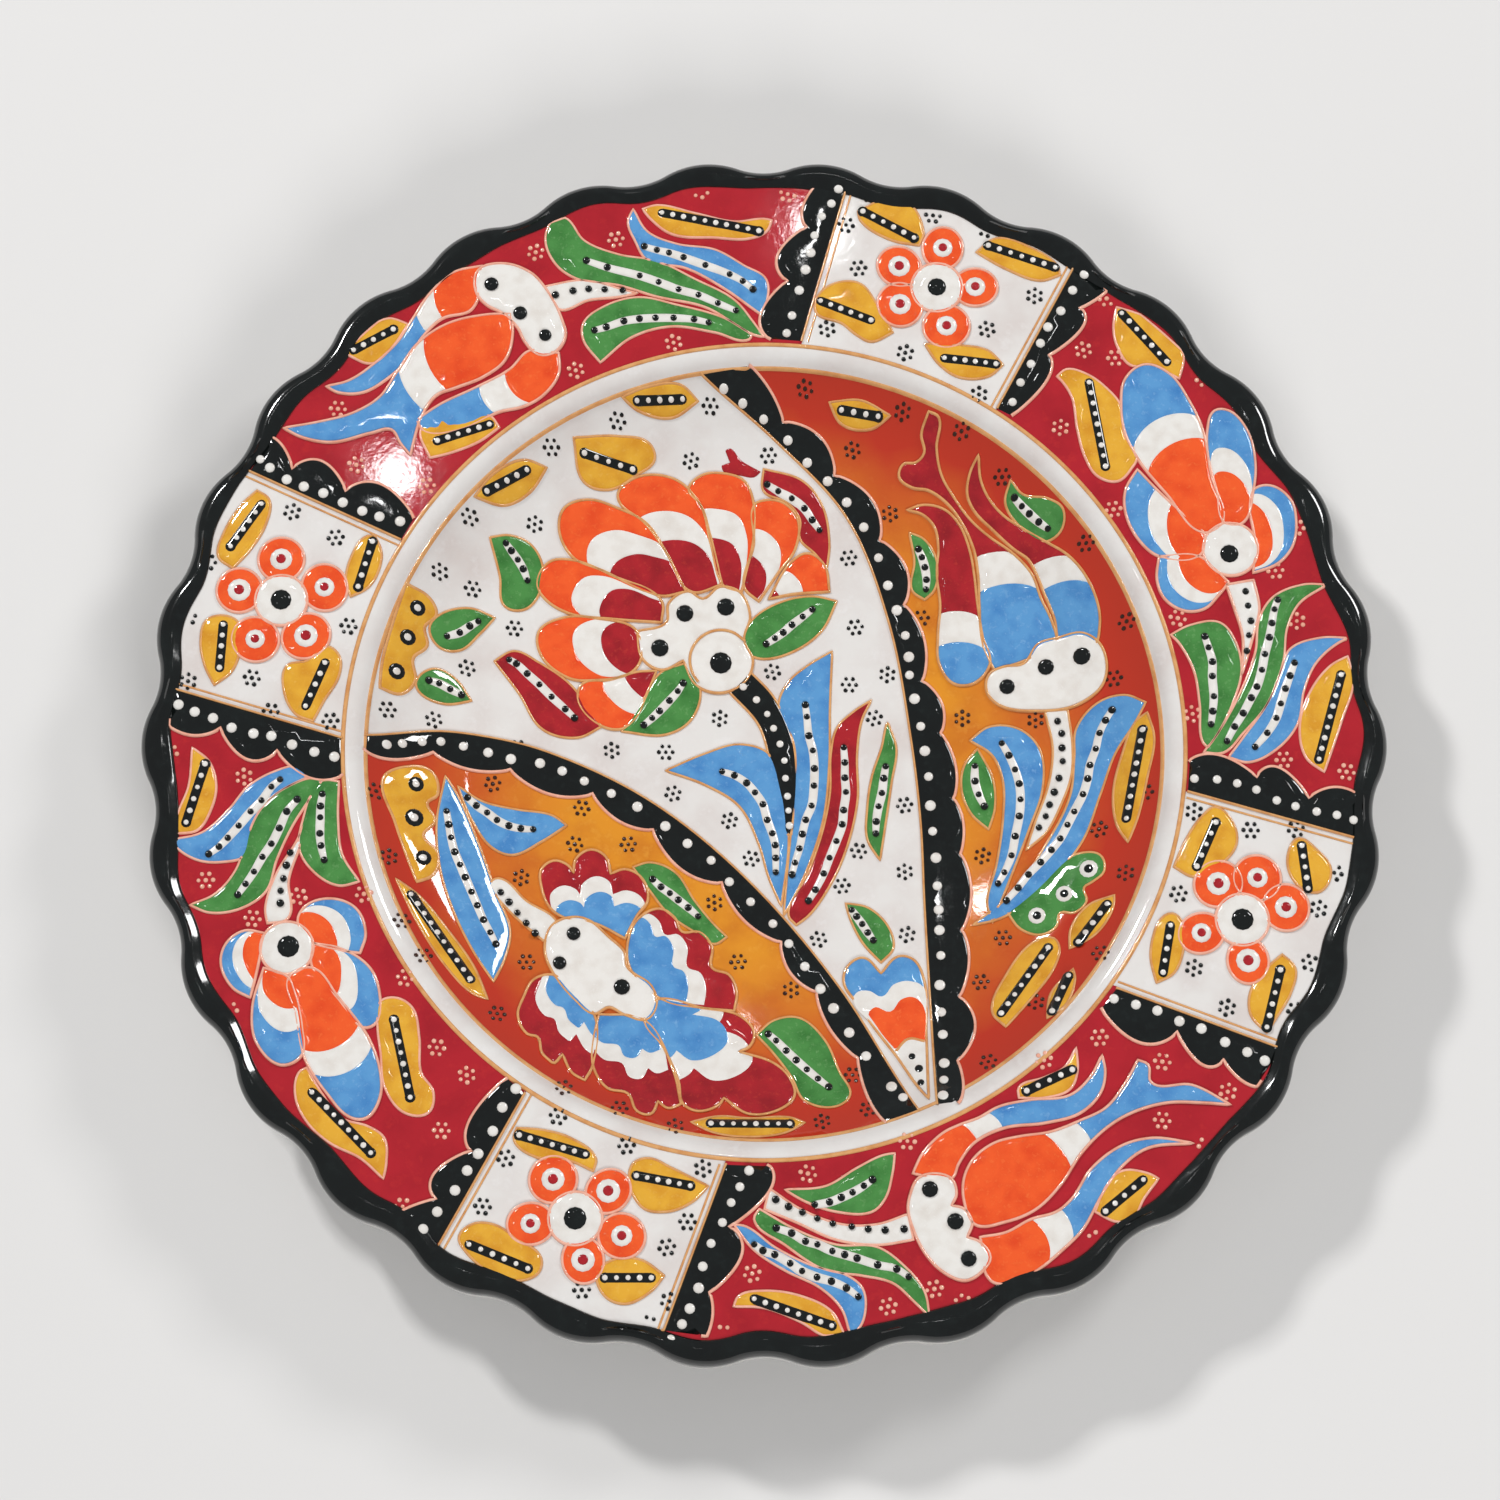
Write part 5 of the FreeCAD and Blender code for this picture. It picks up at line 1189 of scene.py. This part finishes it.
# ---------------------------------------------------------------- amber ground, lower
# A second carnation seen from the side: five ruffled petals in blue, white and red about a white
# calyx, with blue and green leaves round it.
name = "carnation_small"
CALYX = (-31, -42)
for outline in (
        [(-43, -31), (-45, -26), (-45, -23), (-42.5, -21), (-39.5, -22), (-38.5, -23.5), (-38, -20.5),
         (-35, -18.5), (-32, -20), (-31, -23.5), (-28, -22.5), (-24.5, -24.5), (-23.5, -29), (-25.5, -32),
         (-28, -37), (-34, -34), (-40, -33)],
        [(-27, -36), (-25, -32.5), (-21, -30.7), (-18, -32.5), (-16.5, -35.5), (-13, -35.5), (-10.5, -38.5),
         (-10.5, -43), (-7, -44.5), (-5.5, -48), (-6, -52), (-12, -51.5), (-20, -50), (-27, -43)],
        [(-22, -50), (-12, -51.5), (-5, -53), (-2, -56.5), (-3, -59.5), (-5, -60.5), (2, -63), (5, -66),
         (6, -70), (3, -73), (-3, -74), (-8, -70.5), (-9, -72), (-13, -73.5), (-16, -72), (-17, -67),
         (-20, -60), (-24, -54)],
        [(-24, -54), (-33, -53), (-34, -58), (-34, -64), (-31, -69), (-27, -70), (-25, -74), (-22.5, -74.5),
         (-21, -71.5), (-19, -73), (-16.5, -72), (-18, -65)],
        [(-34, -53), (-42, -45), (-46, -46), (-48, -50), (-49, -54), (-47, -58), (-45, -58.5), (-44, -62),
         (-42, -64), (-40, -62), (-38, -66), (-35.5, -67.5), (-34, -64)]):
    petal(name, outline, [("blue", CALYX, 0.62), ("cream", CALYX, 0.76), ("darkred",)], "tan", 0.52)
petal(name, [(-40, -33), (-36, -33), (-31, -37), (-28, -40), (-27.5, -43), (-22.5, -47), (-21.5, -51),
    (-23.5, -54), (-28, -53), (-31, -51.5), (-34, -53), (-38, -50), (-42, -45), (-44, -40), (-43, -35)],
    [("cream",)], "tan", 0.62)
dots(name, "black", [(-38.3, -36.3), (-41, -42.5), (-28.5, -47.3)], 1.5, 0.35, 0.8)
leaf(name, "cream", [(-56, -26.5), (-53.5, -25), (-48, -29.5), (-41.5, -34.5), (-43.5, -38.5),
    (-50.5, -32.5)],
    [(-53, -28), (-51.3, -30), (-49.6, -32.2), (-47.8, -34.3), (-46, -36.4)], "tan", streak=None)
leaf(name, "blue", [(-64.5, -4), (-62, -8), (-58, -17), (-54, -28), (-51, -36), (-52, -42), (-54, -47),
    (-58, -41), (-62, -33), (-65, -24), (-66, -14)],
    [(-64.1, -11.5), (-63.6, -14.3), (-63.1, -17), (-62.3, -20), (-61.2, -22.6), (-60.1, -25.2),
     (-58.8, -28.2), (-57.6, -31), (-56.3, -34), (-54.9, -36.6), (-53.7, -39)], "tan")
leaf(name, "blue", [(-62, -6), (-57, -9), (-50, -10.5), (-43, -11.5), (-40, -13.5), (-45, -17), (-51, -20),
    (-55, -18.5), (-59, -13)],
    [(-60, -8.4), (-58.2, -10), (-56, -11.4), (-54, -12.9), (-51.6, -14), (-49.2, -14.5), (-46.7, -14.6)],
     "tan")
leaf(name, "green", [(-26.5, -22), (-23, -21), (-18, -23), (-14, -29), (-10, -34), (-7.5, -36.5), (-10, -38),
    (-14, -35.5), (-19, -32), (-23, -27)],
    [(-22.5, -24.6), (-20.8, -26.2), (-19, -27.5), (-17.3, -28.9), (-15.3, -30.5), (-13.3, -32.3)], "tan")
leaf(name, "green", [(-1.5, -57), (2, -54), (7, -53.5), (12, -58), (15, -65), (17, -70), (14, -72.5),
    (8, -71), (5.5, -66), (2, -61)],
    [(0.8, -56.9), (2.4, -58.3), (4.4, -60.4), (6.4, -62.4), (8.5, -64.4), (10.7, -66.4), (12.8, -68.2)],
     "tan")
for outline, start, end in (
        ([(-73.5, -27), (-69, -30), (-63, -37), (-58, -44), (-55, -51), (-58, -50), (-63, -45), (-69, -36)],
         (-70.5, -30), (-58.5, -47)),
        ([(-14.5, -76), (-9, -74.6), (-3, -75), (5, -74.8), (8, -76), (4, -78.3), (-4, -79.2), (-10, -78.3)],
         (-10.5, -76.3), (5, -76.3))):
    barred_leaf(name, outline, start, end, "tan")
clusters(name, "umber", [(-55, -5.2), (-37, -9.8), (-38.3, -17.4), (-27.5, -17.2), (-49, -24.7),
    (-47.6, -42.4), (-53, -54), (-10, -29.3), (-5.2, -41.7), (5.4, -47.6), (17.6, -65.6), (11.4, -75.8),
    (20.5, -73.2), (-39.5, -69.5), (-28.5, -73.4), (-17.5, -77), (-77.8, -9), (-75, -22.5), (-67.6, -43),
    (-72, -36)], 0.42, 1.4)
lay(name, name)

# ---------------------------------------------------------------- floor, light and camera
# A pale matt floor under studio light: a small bright box high on the left, weaker ones on the right
# and in front, four small lamps for glints and a dim surround. The camera looks steeply down.
floor_mesh = bpy.data.meshes.new("studio_floor")
floor_mesh.from_pydata([(-3, -3, 0), (3, -3, 0), (3, 3, 0), (-3, 3, 0)], [], [(0, 1, 2, 3)])
floor = bpy.data.objects.new("studio_floor", floor_mesh)
bpy.context.scene.collection.objects.link(floor)
matt = bpy.data.materials.new("pale_matt_paper")
matt.use_nodes = True
matt.node_tree.nodes["Principled BSDF"].inputs["Base Color"].default_value = rgb("DEDCDA")
matt.node_tree.nodes["Principled BSDF"].inputs["Roughness"].default_value = 0.9
floor_mesh.materials.append(matt)


def softbox(name, place, size, power, mirrored=True):
    """A square area light that faces the plate; one that isn't mirrored gives no highlight."""
    data = bpy.data.lights.new(name, "AREA")
    data.shape = "SQUARE"
    data.size = size
    data.energy = power
    lamp = bpy.data.objects.new(name, data)
    lamp.location = place
    lamp.rotation_euler = (Vector((0, 0, 0.02)) - Vector(place)).to_track_quat("-Z", "Y").to_euler()
    lamp.visible_glossy = mirrored
    bpy.context.scene.collection.objects.link(lamp)


softbox("key_box", (-0.75, 0.85, 1.15), 0.15, 13.0)
softbox("fill_box", (0.95, 0.75, 1.0), 0.3, 7.0)
softbox("near_box", (0.3, -1.2, 1.0), 0.5, 12.0, mirrored=False)
GLINT_PLACES = [(-0.18, 0.47, 1.3), (0.03, 0.6, 1.3), (0.33, 0.36, 1.2), (-0.42, 0.12, 1.2)]
for number, place in enumerate(GLINT_PLACES):
    softbox("glint_lamp_%d" % number, place, 0.02, 0.05)
world = bpy.data.worlds.new("studio")
world.use_nodes = True
world.node_tree.nodes["Background"].inputs["Color"].default_value = rgb("E8ECF0")
world.node_tree.nodes["Background"].inputs["Strength"].default_value = 0.31
bpy.context.scene.world = world

lens = bpy.data.cameras.new("camera")
lens.lens = 107.8
lens.sensor_width = 36.0
camera = bpy.data.objects.new("camera", lens)
camera.location = (-0.00282, -0.2267, 0.8973)
camera.rotation_euler = (math.radians(14.5), 0, 0)
bpy.context.scene.collection.objects.link(camera)
bpy.context.scene.camera = camera
bpy.context.scene.view_settings.view_transform = "Standard"
